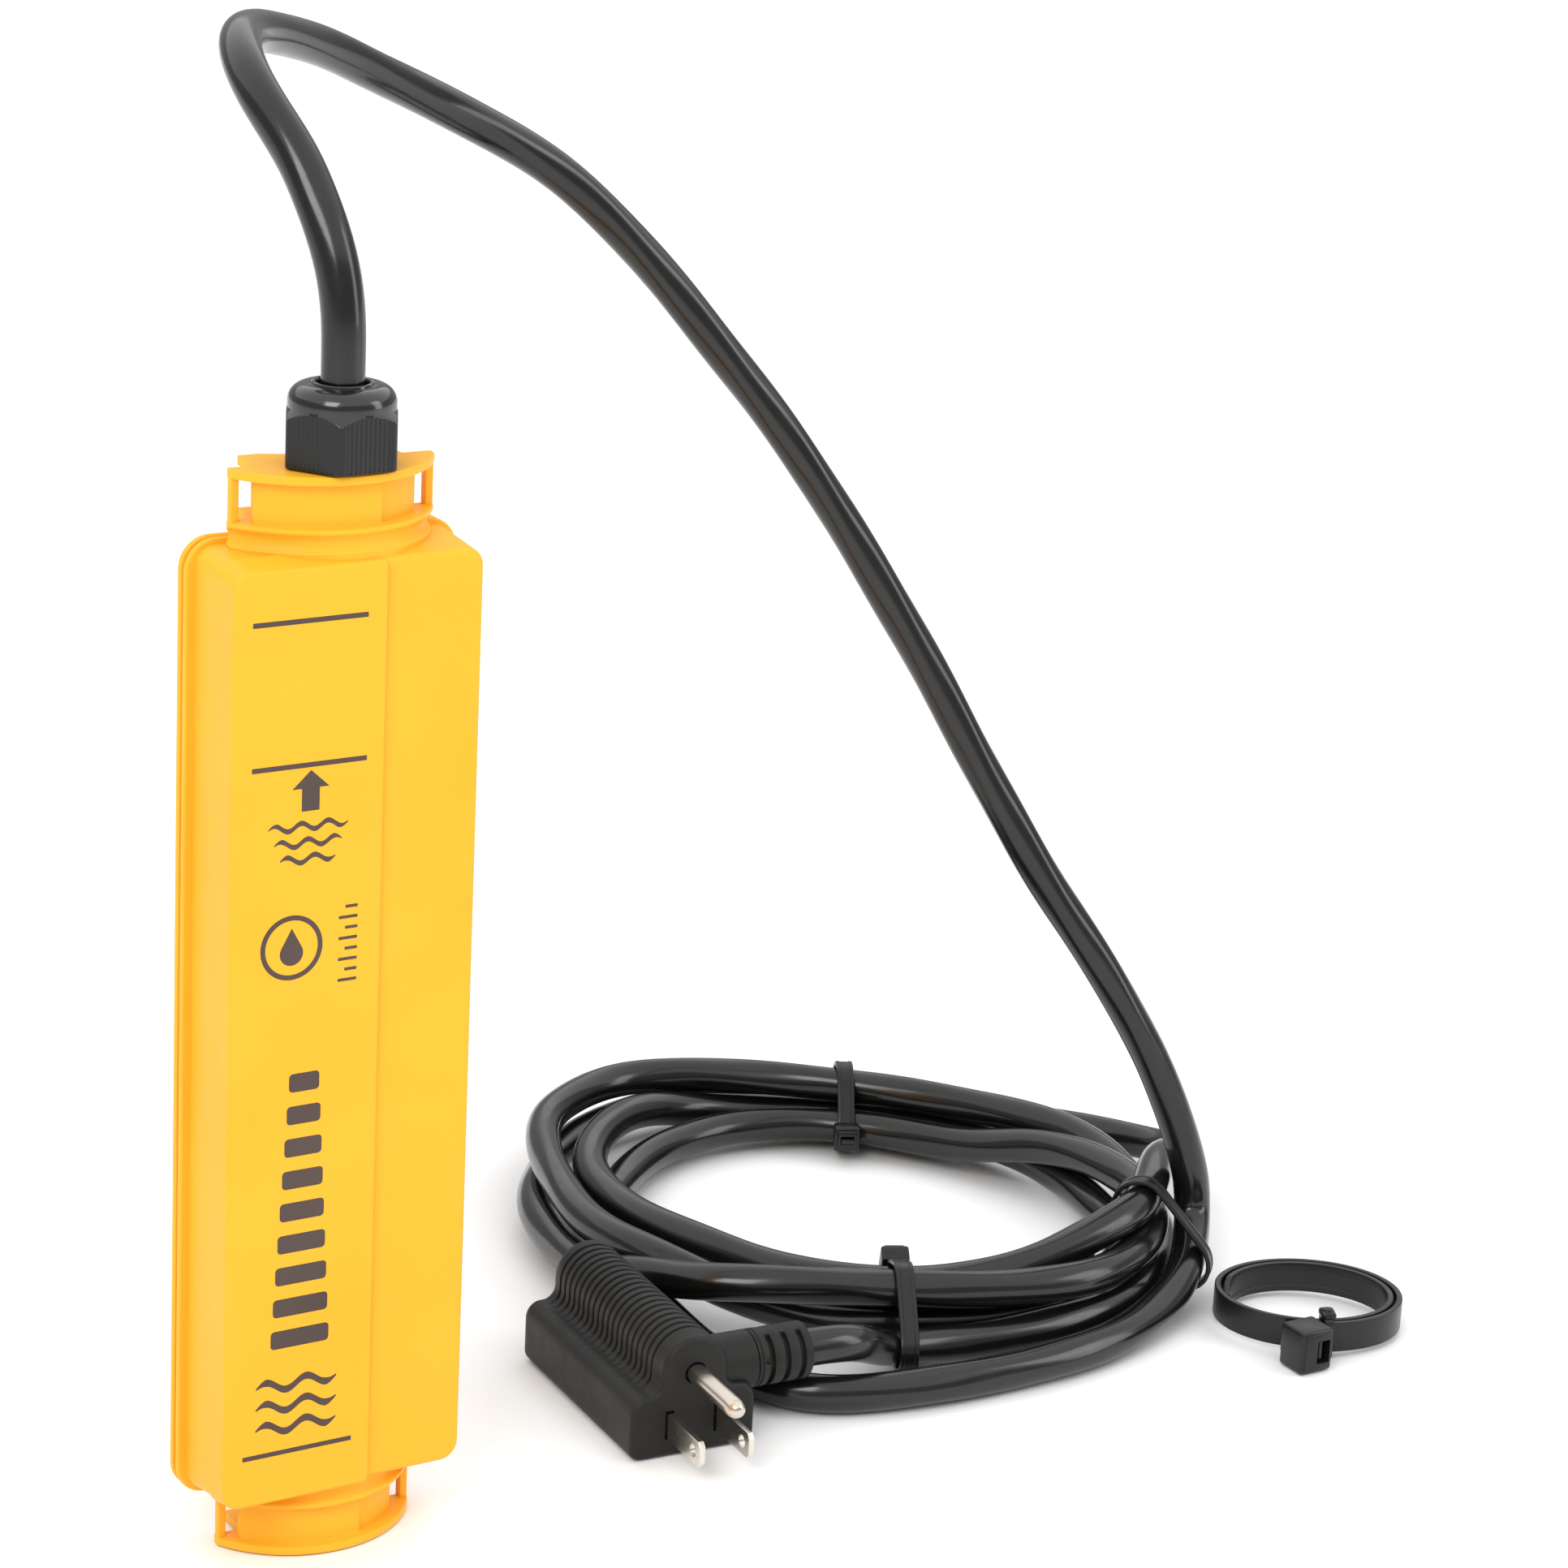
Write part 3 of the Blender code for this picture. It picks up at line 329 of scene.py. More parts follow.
def combine(base, joins=(), cuts=(), bevel=0.0, weighted=True, smooth=32.0):
    """Boolean unions, then cuts, applied; the operands are removed."""
    mat = base.data.materials[0] if base.data.materials else None
    for kind, group in (("UNION", joins), ("DIFFERENCE", cuts)):
        for o in group:
            mod = base.modifiers.new(o.name, "BOOLEAN")
            mod.operation, mod.solver, mod.object = kind, "EXACT", o
    if bevel:
        mod = base.modifiers.new("edge", "BEVEL")
        mod.width, mod.segments, mod.limit_method = bevel * MM, 2, "ANGLE"
        mod.angle_limit, mod.use_clamp_overlap = math.radians(38), True
    bpy.context.view_layer.update()
    graph = bpy.context.evaluated_depsgraph_get()
    mesh = bpy.data.meshes.new_from_object(base.evaluated_get(graph))
    base.modifiers.clear()
    for o in list(joins) + list(cuts):
        bpy.data.objects.remove(o, do_unlink=True)
    bm = bmesh.new()
    bm.from_mesh(mesh)
    bmesh.ops.remove_doubles(bm, verts=bm.verts, dist=2e-6)
    bmesh.ops.dissolve_degenerate(bm, edges=bm.edges, dist=2e-6)
    bm.to_mesh(mesh)
    bm.free()
    mesh.materials.clear()
    if mat:
        mesh.materials.append(mat)
    for p in mesh.polygons:
        p.material_index = 0
    mesh.shade_smooth()
    mesh.set_sharp_from_angle(angle=math.radians(smooth))
    base.data = mesh
    if weighted:
        mod = base.modifiers.new("normals", "WEIGHTED_NORMAL")
        mod.keep_sharp = True
    return base


def join(name, objs):
    """Several meshes made one object, keeping each one's material."""
    mats, bm = [], bmesh.new()
    for o in objs:
        mat = o.data.materials[0]
        if mat not in mats:
            mats.append(mat)
        part = bmesh.new()
        part.from_mesh(o.data)
        part.transform(o.matrix_world)
        for f in part.faces:
            f.material_index = mats.index(mat)
        tmp = bpy.data.meshes.new("tmp")
        part.to_mesh(tmp)
        part.free()
        bm.from_mesh(tmp)
        bpy.data.meshes.remove(tmp)
        bpy.data.objects.remove(o, do_unlink=True)
    mesh = bpy.data.meshes.new(name)
    bm.to_mesh(mesh)
    bm.free()
    mesh.shade_smooth()
    mesh.set_sharp_from_angle(angle=math.radians(35))
    for m in mats:
        mesh.materials.append(m)
    obj = bpy.data.objects.new(name, mesh)
    bpy.context.scene.collection.objects.link(obj)
    return obj


def shift(obj, matrix):
    obj.data.transform(matrix)
    return obj


# ------------------------------------------------------------------ housing
HEIGHT = 245.2
FACE_Y, STEP_Y, STEP_X = -12.8, -11.2, 6.0
COLLAR_Y, LIP_R, DRUM_R = 15.4, 26.9, 24.5
PIPE_Y, PIPE_R = 35.1, 24.45
GLAND_Y = -1.0


def tray():
    """Main shell: full-width tray, its ends and sides drawn in a little to the face."""
    rows = []
    for y, d in [(6.6, 0.0), (2.0, 0.05), (-9.7, 0.2)]:
        rows.append((y, d))
    for k in range(1, 6):
        t = math.pi / 2 * k / 5
        rows.append((-9.7 - 1.5 * math.sin(t), 0.2 + 1.5 * (1 - math.cos(t))))
    rings = []
    for y, d in rows:
        f = (6.6 - y) / 17.8
        ring = rounded(-29.4 + d, 29.4 - d, 13.3 + 2.85 * f + d, 228.6 - 1.2 * f - d, (4.2, 4.0, 4.2, 4.2))
        rings.append([(x, y, z) for x, z in ring])
    base = loft("housing_shell", rings, YELLOW)
    rows = []
    for k in range(6):
        t = math.pi / 2 * k / 5
        rows.append((-11.7 - 1.1 * math.sin(t), 1.1 * (1 - math.cos(t))))
    rings = []
    for y, d in [(-5.4, -1.2), (-10.6, -0.12)] + rows:
        ring = rounded(-29.26 + max(d, 0), STEP_X - d * (1 if d > 0 else 0.0), 15.9 + d, 227.2 - d, (1.4, 1.4, 4.1, 4.1))
        rings.append([(x, y, z) for x, z in ring])
    pad = loft("raised_face", rings)
    return combine(base, [pad], weighted=False)


def collar(name, at_top):
    z = (lambda v: HEIGHT - v) if at_top else (lambda v: v)
    s = [(25.4, 0.0), (25.75, 0.15), (25.9, 0.5), (25.9, 1.6), (25.75, 1.9), (25.5, 2.0), (24.1, 2.0), (23.65, 2.2),
         (23.5, 2.7), (23.5, 10.5), (23.65, 11.0), (24.1, 11.2), (25.5, 11.2), (25.8, 11.35), (25.9, 11.7), (25.9, 12.1),
         (25.75, 12.4), (25.2, 12.75), (24.75, 13.2), (24.45, 13.9), (24.45, 14.7), (24.75, 15.5), (25.2, 16.1), (25.6, 16.5),
         (25.6, 20.0)]
    prof = [(0.0, z(s[0][1]))] + [(r + 1.0, z(v)) for r, v in s] + [(0.0, z(s[-1][1]))]
    spool = turned(name, prof, (0, COLLAR_Y, 0), YELLOW, steps=192)
    lo, hi = sorted((z(-4), z(26)))
    plan = slab(name + "_plan", [(-23.4, -20), (23.4, -20), (23.4, 4.3), (16.8, 4.3), (16.8, 13.6), (-16.8, 13.6),
                                 (-16.8, 4.3), (-23.4, 4.3)], lo, hi, edge=0.0001, plane="XY")
    mod = spool.modifiers.new("plan", "BOOLEAN")
    mod.operation, mod.solver, mod.object = "INTERSECT", "EXACT", plan
    bpy.context.view_layer.update()
    mesh = bpy.data.meshes.new_from_object(spool.evaluated_get(bpy.context.evaluated_depsgraph_get()))
    spool.modifiers.clear()
    spool.data = mesh
    bpy.data.objects.remove(plan, do_unlink=True)
    cuts, joins = [], []
    lo, hi = sorted((z(2.0), z(11.2)))
    for side, k in (("left", -1), ("right", 1)):
        end = 19.3 if k < 0 else 17.5
        p = [(end, -16), (end, 1.4), (12.0, 6.2), (12.0, 16), (26, 16), (26, 4.3), (21.5, 4.3), (21.5, -16)]
        if k > 0:
            # the drum steps back beside the label face
            r = DRUM_R - 0.9
            p = [(STEP_X, -16)] + [(x, COLLAR_Y - math.sqrt(r * r - x * x)) for x in np.linspace(STEP_X, end, 13)] + p[1:]
        p = [(k * float(x), float(y)) for x, y in p]
        if k > 0:
            p.reverse()
        cuts.append(slab(f"{name}_cut_{side}", p, lo, hi, edge=0.0001, plane="XY"))
        xs = sorted((k * 21.5, k * 23.4))
        pz = sorted((z(1.4), z(11.8)))
        joins.append(box(f"{name}_post_{side}", xs, (2.3, 4.3), pz, bevel=0.35))
    # windows first, then the posts that close them at the sides
    combine(spool, (), cuts, weighted=False)
    return combine(spool, joins, (), weighted=False)


def housing():
    body = tray()
    flange = slab("flange", rounded(-31.5, 31.5, 11.9, 229.9, 7.0, 12), 6.4, 8.0, edge=0.5)
    cavity = box("cavity", (-26.6, 26.6), (-9.0, 12), (19.2, 224.8), bevel=1.0)
    spigot = rod("spigot", (0, GLAND_Y, 244), (0, GLAND_Y, 257.1), 9.6, sides=64)
    posts = [rod(f"post_{i}", (x, -10.0, z), (x, 5.2, z), 2.2, sides=24)
             for i, (x, z) in enumerate(((-21, 30), (21, 30), (-21, 211), (21, 211)))]
    combine(body, [flange, collar("collar_low", False), collar("collar_high", True), spigot], weighted=False)
    combine(body, (), [cavity, box("seat", (-45, 45), (8.0, 30), (11.1, 230.3))], weighted=False)
    combine(body, posts, (), weighted=False)
    return combine(body, (), [rod("bore", (0, GLAND_Y, 215), (0, GLAND_Y, 251), 5.3, sides=48),
                              rod("seal_bore", (0, GLAND_Y, 247), (0, GLAND_Y, 259), 8.0, sides=64),
                              rod("saddle", (0, PIPE_Y, -5), (0, PIPE_Y, 255), PIPE_R, sides=256)])


shell = housing()
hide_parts("housing_body")
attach(shell, "switch")

panel = slab("cover_panel", rounded(-31.5, 31.5, 11.9, 229.9, 7.0, 12), 9.2, 10.8, YELLOW, edge=0.55)
ribs = [slab(f"pad_rib_{k}", rounded(*sorted((k * 9.6, k * 13.2)), 22, 220, 1.2), 10.0, 12.9, edge=0.35) for k in (-1, 1)]
combine(panel, ribs)
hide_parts("rear_cover")
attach(panel, "switch")


def seal_bead():
    """The squeezed bead between flange and cover; its edge wanders slightly."""
    def loop(d, n=14):
        pts = []
        base = rounded(-31.5 + d, 31.5 - d, 11.9 + d, 229.9 - d, max(7.0 - d, 0.8), n)
        for i, p in enumerate(base):
            q = base[(i + 1) % len(base)]
            m = max(1, int(math.dist(p, q) / 2.5))
            pts += [(p[0] + (q[0] - p[0]) * j / m, p[1] + (q[1] - p[1]) * j / m) for j in range(m)]
        return pts
    out, inn = loop(0.75), loop(2.9)
    rings = []
    mid = 8.6
    for i, p in enumerate(out):
        s = i / len(out) * 2 * math.pi
        w = 0.18 * math.sin(7 * s + 0.6) + 0.12 * math.sin(17 * s + 1.9) + 0.07 * math.sin(41 * s)
        q = min(inn, key=lambda c: (c[0] - p[0]) ** 2 + (c[1] - p[1]) ** 2)
        u = np.array([p[0] - q[0], p[1] - q[1]])
        u /= np.linalg.norm(u)
        o = (p[0] + u[0] * w, p[1] + u[1] * w)
        ring = []
        for k in range(7):
            t = math.pi * (k / 6) - math.pi / 2
            ring.append((o[0] - u[0] * 0.3 * (1 - math.cos(t)), mid + 0.3 * math.sin(t), o[1] - u[1] * 0.3 * (1 - math.cos(t))))
        ring += [(q[0], mid + 0.3, q[1]), (q[0], mid - 0.3, q[1])]
        rings.append(ring)
    return loft("seal_ring", rings, BEAD, ends="loop")


bead = seal_bead()
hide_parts("cover_seal")
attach(bead, "switch")


# -------------------------------------------------------------- pad printing
def print_marks():
    y0, y1 = -11.46, -11.2
    out = []

    def mark(poly):
        out.append(slab(f"mark_{len(out)}", poly, y0, y1, PRINT, edge=0.02, steps=1))

    for x0, x1, z, tilt in ((-24.2, 2.1, 219.5, 0.1), (-24.0, 2.4, 188.3, 0.0), (-24.0, 2.1, 31.5, 0.05)):
        mark(rounded(x0, x1, z - 0.55, z + 0.55, 0.2, 3))
    mark([(-12.5, 178.2), (-8.4, 178.2), (-8.4, 183.2), (-6.2, 183.2), (-10.45, 187.1), (-14.7, 183.2), (-12.5, 183.2)])

    def wave(cx, cz, half, amp, thick, turns, n=48):
        top, low = [], []
        for k in range(n + 1):
            f = k / n
            x = cx - half + 2 * half * f
            z = cz + amp * math.sin(2 * math.pi * turns * f)
            w = thick / 2 * min(1.0, 6 * f + 0.25, 6 * (1 - f) + 0.25)
            top.append((x, z + w))
            low.append((x, z - w))
        mark(low + top[::-1])

    for row, z in enumerate((174.9, 171.3, 167.7)):
        wave(-10.9, z, 9.2 - 1.4 * row, 0.75, 1.15, 3 - 0.5 * row)
    # plain ring with a drop in it
    ring_o, ring_i = arc(-14.3, 148.3, 7.2, 0, 360, 64)[:-1], arc(-14.3, 148.3, 6.1, 0, 360, 64)[:-1]
    rows = [[(x, y, z) for x, z in loop_] for loop_, y in ((ring_o, y1), (ring_o, y0), (ring_i, y0), (ring_i, y1))]
    out.append(loft("mark_ring", rows, PRINT, ends="loop"))
    drop = arc(-14.3, 147.0, 2.7, 150, 390, 24) + [(-14.3, 152.6)]
    mark(drop)
    # ruled level ticks
    for k in range(8):
        long = k % 2 == 0
        z = 139.4 + 2.35 * k
        mark(rounded(-3.4 if long else -1.9, 1.0, z - 0.34, z + 0.34, 0.12, 2))
    # stepped bars, widening downward, as a fill-level sign
    for k in range(9):
        z = 58.4 + 7.4 * k
        half = 6.9 - 0.42 * k
        mark(rounded(-10.8 - half, -10.8 + half, z - 2.1, z + 2.1, 0.9, 4))
    for row, z in enumerate((47.6, 42.6, 37.6)):
        wave(-11.4, z, 9.6, 1.15, 1.7, 2.0)
    return join("label_marks", out)


marks = print_marks()
shift(marks, Matrix.Translation((-0.86 * MM, -1.4 * MM, -3.59 * MM)))
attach(marks, "switch")


# -------------------------------------------------------------------- gland
def off_corner(a):
    """Angle from the nearest corner of the hexagon."""
    return (a - math.radians(-116.3) + math.pi / 6) % (math.pi / 3) - math.pi / 6


def crown(h):
    """Radius of the turned form that trims the hexagon's corners into the dome."""
    return 13.28 - 1.84 * min(1.0, max(0.0, (h - 255.7) / 1.9))


def dome_nut():
    flat = 11.5

    def r_of(r, h, a):
        if r < 13.1:
            return r
        c = off_corner(a)
        mid = math.pi / 6 - abs(c)
        side = min(flat / math.cos(mid), 13.08)
        if h < 246.0:
            return side - 0.35 * (h < 245.7)
        if side < crown(h) - 0.12 and mid < 0.44:
            u = math.tan(mid if c > 0 else -mid) * flat
            side -= 0.13 * (0.5 + 0.5 * math.cos(2 * math.pi * u / 1.1))
        return min(side, crown(h))

    prof = [(10.0, 245.5), (13.2, 245.5), (13.2, 245.8)]
    prof += [(13.2, 246.1 + 0.3 * k) for k in range(32)]
    prof += [(13.2, 255.72 + 0.19 * k) for k in range(11)]
    prof += [(11.44, 258.2), (11.44, 258.75)]
    for k in range(1, 14):
        t = math.pi / 2 * k / 13
        prof.append((7.74 + 3.7 * math.cos(t), 258.8 + 3.65 * math.sin(t)))
    prof += [(7.3, 262.48), (6.9, 262.42), (6.55, 262.2), (6.4, 262.3), (6.3, 262.75), (6.05, 262.95), (5.75, 262.9),
             (5.6, 262.6), (5.55, 261.4), (6.4, 260.5), (9.2, 257.7), (10.0, 257.3)]
    return turned("dome_nut", prof, (0, GLAND_Y, 0), DOME, steps=360, r_of=r_of)


nut = dome_nut()
nut.data.materials.append(NYLON)
for p in nut.data.polygons:
    c = p.center / MM
    bend = off_corner(math.atan2(c.y - GLAND_Y, c.x))
    if c.z < 257.6 and 11.5 / math.cos(math.pi / 6 - abs(bend)) < crown(c.z):
        p.material_index = 1
nut.data.set_sharp_from_angle(angle=math.radians(28))
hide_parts("gland_nut")
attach(nut, "gland_nut")

# --------------------------------------------------------------------- cord
CORD_R = 4.7
PLUG_X, PLUG_HALF_W, PLUG_BACK = 96.1, 16.1, 58.0
CORD_EXIT = (114.0, 4.0, 17.5)
PLUG_TURN_DEG = -4.2
COIL_X, COIL_Y, COIL_TURN = 194.9, 76.3, 31.5
COIL_LOW = 6.6
DRAWN_IN = 0.991
FREE_LOOP = [
    (0, -1, 217), (0, -1, 248), (0, -1, 264), (0, -0.5, 277), (-0.5, 2.5, 288), (-2, 8, 298), (-4, 15, 307.5),
    (-6, 24, 315.5), (-5.5, 36, 322), (-0.5, 50, 325.5), (8.5, 63.5, 325.5), (23.5, 78, 322), (44, 92.5, 315),
    (68, 104, 304.5), (91.5, 109, 293.5), (112, 106.5, 280.5), (130.5, 100, 262), (148.5, 91.5, 239),
    (165, 83.5, 216), (180.5, 75.5, 190.5), (195, 67, 164), (208.5, 58, 136.5), (224, 48, 107),
    (238.5, 40.5, 83.5), (250.5, 35.5, 61.5), (258.5, 32, 42.5), (262, 29.5, 28)]
TURN_1 = [(4, 83.5, 18.5), (16, 84, 11.5), (32, 83.5, 7), (50, 83.5, 5.2), (73, 87.5, 5), (90, 96, 5), (102, 101, 5),
          (113, 96, 5), (127, 86, 5.6), (142, 80, 6.6), (160, 75, 6.6), (180, 72, 6.6), (200, 71.5, 6.6),
          (222, 75, 6.6), (246, 76.5, 6.6), (270, 71.5, 6.6), (296, 66, 8), (318, 66.5, 14), (340, 70, 16.4)]
TURN_2 = [(0, 72.5, 16.4), (30, 71.5, 16.4), (55, 68, 16.4), (86, 66, 16.4), (103, 72, 16.4), (116, 82, 16),
          (128, 91, 13.5), (140, 92.5, 9), (153, 90, 6.6), (175, 90, 6.6), (195, 92, 6.6), (220, 98, 6.6),
          (245, 98.5, 6.6), (270, 92, 6.6), (295, 95, 6.6), (312, 103, 6.6), (322, 105, 8.5), (332, 99, 14),
          (343, 86, 21.5), (354, 76.5, 26)]
TURN_3 = [(16, 72.5, 25.5), (34, 66.5, 22), (56, 61, 17), (86, 57.5, 14.8), (115, 54.5, 14.6), (139, 56, 15.6),
          (159, 63, 16.4), (177, 70, 16.4), (193, 76.5, 16.4), (210, 82, 16.2), (227, 88, 13), (243, 89, 8),
          (265, 83, 6.6), (290, 77, 6.6), (318, 69, 6.6), (342, 66, 6.6)]
TURN_4 = [(0, 67, 6.6), (25, 65, 6.6), (50, 61, 6.6), (86, 59, 6.6), (110, 63, 7.5), (128, 71, 12.5),
          (143, 78, 16.2), (160, 80.5, 16.2), (178, 83.5, 16.2), (190, 88.5, 16.2), (204, 96.5, 16.2),
          (216, 100.5, 16.2), (227, 100.5, 16.2), (240, 93, 16.2), (266, 79.5, 15.8), (290, 75, 15.8),
          (313, 76.5, 15.8), (328, 76.5, 14), (344, 76, 9.5)]
TURN_5 = [(0, 75.5, 6.8), (25, 73, 6.6), (47, 70, 6.6), (70, 69.5, 6.6)]
PLUG_LEAD = [(155, 9, 10.3), (147, 4.6, 14.6), (139, 2.45, 17)]
PLUG_LEAD += [(x, 4 + (x - 114) * math.tan(math.radians(PLUG_TURN_DEG)), 17.5) for x in (131.5, 124.5, 117.3)]


def smooth_path(points, spacing):
    """A natural cubic spline through points, at even spacing."""
    p = np.array(points, float)
    t = np.r_[0, np.cumsum(np.sqrt(np.linalg.norm(np.diff(p, axis=0), axis=1)))]
    n, h = len(p), np.diff(t)
    lhs, rhs = np.eye(n), np.zeros((n, 3))
    for i in range(1, n - 1):
        lhs[i, i - 1:i + 2] = [h[i - 1], 2 * (h[i - 1] + h[i]), h[i]]
        rhs[i] = 6 * ((p[i + 1] - p[i]) / h[i] - (p[i] - p[i - 1]) / h[i - 1])
    m = np.linalg.solve(lhs, rhs)

    def at(x):
        i = np.clip(np.searchsorted(t, x) - 1, 0, n - 2)
        a, b, g = (t[i + 1] - x)[:, None], (x - t[i])[:, None], h[i][:, None]
        return (m[i] * a**3 + m[i + 1] * b**3) / (6 * g) + (p[i] / g - m[i] * g / 6) * a \
            + (p[i + 1] / g - m[i + 1] * g / 6) * b

    fine = np.linspace(0, t[-1], 4000)
    q = at(fine)
    s = np.r_[0, np.cumsum(np.linalg.norm(np.diff(q, axis=0), axis=1))]
    return at(np.interp(np.linspace(0, s[-1], int(round(s[-1] / spacing)) + 1), s, fine))


PLUG_COS, PLUG_SIN = math.cos(math.radians(PLUG_TURN_DEG)), math.sin(math.radians(PLUG_TURN_DEG))


def plug_frame(points):
    """Points in the plug's own axes: place along its length, and across from its middle."""
    dx, dy = points[:, 0] - CORD_EXIT[0], points[:, 1] - CORD_EXIT[1]
    return CORD_EXIT[1] - dx * PLUG_SIN + dy * PLUG_COS, CORD_EXIT[0] + dx * PLUG_COS + dy * PLUG_SIN - PLUG_X


def cord_path(spacing=8.5, gap=0.5, rounds=400):
    """The cord's centre line. Turns that would touch are moved apart evenly."""
    points = list(FREE_LOOP)
    for number, rows in enumerate((TURN_1, TURN_2, TURN_3, TURN_4, TURN_5)):
        for deg, radius, height in rows:
            a = -math.radians(deg + 360 * number + COIL_TURN)
            r = radius * DRAWN_IN
            points.append((COIL_X + r * math.cos(a), COIL_Y + r * math.sin(a), height))
    home = smooth_path(points + PLUG_LEAD, spacing)
    q, n = home.copy(), len(home)
    radius = np.full(n, CORD_R)
    radius[-3:] = 7.3
    fixed = np.zeros(n, bool)
    fixed[:int(np.argmax((q[:, 2] < 50) & (q[:, 0] > 195)))] = True
    fixed[-4:] = True
    floor = np.minimum(home[:, 2], COIL_LOW)
    i, j = np.triu_indices(n, 6)
    need = radius[i] + radius[j] + gap
    for _ in range(rounds):
        d = q[j] - q[i]
        dist = np.linalg.norm(d, axis=1)
        near = dist < need
        push = np.zeros_like(q)
        move = d[near] / dist[near][:, None] * (need[near] - dist[near])[:, None] * 0.25
        np.add.at(push, i[near], -move)
        np.add.at(push, j[near], move)
        shift_ = q + push - home
        if _ < rounds * 0.8:
            shift_[1:-1] += 0.45 * ((shift_[2:] + shift_[:-2]) / 2 - shift_[1:-1])
        shift_[fixed] = 0
        q = home + shift_
        q[:, 2] = np.maximum(q[:, 2], floor)
        # keep every strand clear of the plug, sideways or behind it
        along, across = plug_frame(q)
        side, rear = PLUG_HALF_W + 6.0 - across, PLUG_BACK + 6.1 - along
        inside = (side > 0) & (across > -22) & (rear > 0) & (along > -9) & (q[:, 2] < 36) & ~fixed
        out = np.where(side < rear, side, 0.0), np.where(side < rear, 0.0, rear)
        q[inside, 0] += (out[0] * PLUG_COS - out[1] * PLUG_SIN)[inside]
        q[inside, 1] += (out[0] * PLUG_SIN + out[1] * PLUG_COS)[inside]
    return q


cord = cord_path()


def sweep(name, path, radius, sides, mat, radius_of=None):
    """A round tube along a path, with frames carried along without twist."""
    p = np.array(path, float)
    t = np.gradient(p, axis=0)
    t /= np.linalg.norm(t, axis=1)[:, None]
    u = np.cross(t[0], [0.0, 1.0, 0.0])
    if np.linalg.norm(u) < 1e-3:
        u = np.cross(t[0], [1.0, 0.0, 0.0])
    u /= np.linalg.norm(u)
    s = np.r_[0, np.cumsum(np.linalg.norm(np.diff(p, axis=0), axis=1))]
    rings = []
    for k in range(len(p)):
        u = u - t[k] * np.dot(u, t[k])
        u /= np.linalg.norm(u)
        v = np.cross(t[k], u)
        ring = []
        for i in range(sides):
            a = 2 * math.pi * i / sides
            r = radius_of(s[k], a) if radius_of else radius
            ring.append(tuple(p[k] + r * (math.cos(a) * u + math.sin(a) * v)))
        rings.append(ring)
    return loft(name, rings, mat)


def jacket(s, a):
    """Three laid cores show faintly through the jacket, and it isn't quite even."""
    free = min(1.0, max(0.0, (s - 40.0) / 40.0))
    core = 0.10 * math.cos(3 * (a - 2 * math.pi * s / 118.0))
    sway = 0.05 * math.sin(s / 13.0 + 1.3) + 0.05 * math.sin(s / 31.0)
    return CORD_R + free * (core + sway) - 0.05


cord_obj = sweep("cord_jacket", smooth_path(cord, 2.4), CORD_R, 28, CORD, jacket)
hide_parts("power_cord")
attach(cord_obj, "switch")


# --------------------------------------------------------------- cable ties
def hull(points):
    pts = sorted(set(points))
    out = []
    for seq in (pts, pts[::-1]):
        chain = []
        for p in seq:
            while len(chain) > 1 and ((chain[-1][0] - chain[-2][0]) * (p[1] - chain[-2][1])
                                      - (chain[-1][1] - chain[-2][1]) * (p[0] - chain[-2][0])) <= 0:
                chain.pop()
            chain.append(p)
        out += chain[:-1]
    return out


def even(poly, step):
    """Points at even spacing round a closed outline."""
    p = np.array(poly + [poly[0]], float)
    s = np.r_[0, np.cumsum(np.linalg.norm(np.diff(p, axis=0), axis=1))]
    n = max(24, int(s[-1] / step))
    x = np.linspace(0, s[-1], n + 1)[:-1]
    return np.stack([np.interp(x, s, p[:, 0]), np.interp(x, s, p[:, 1])], 1)


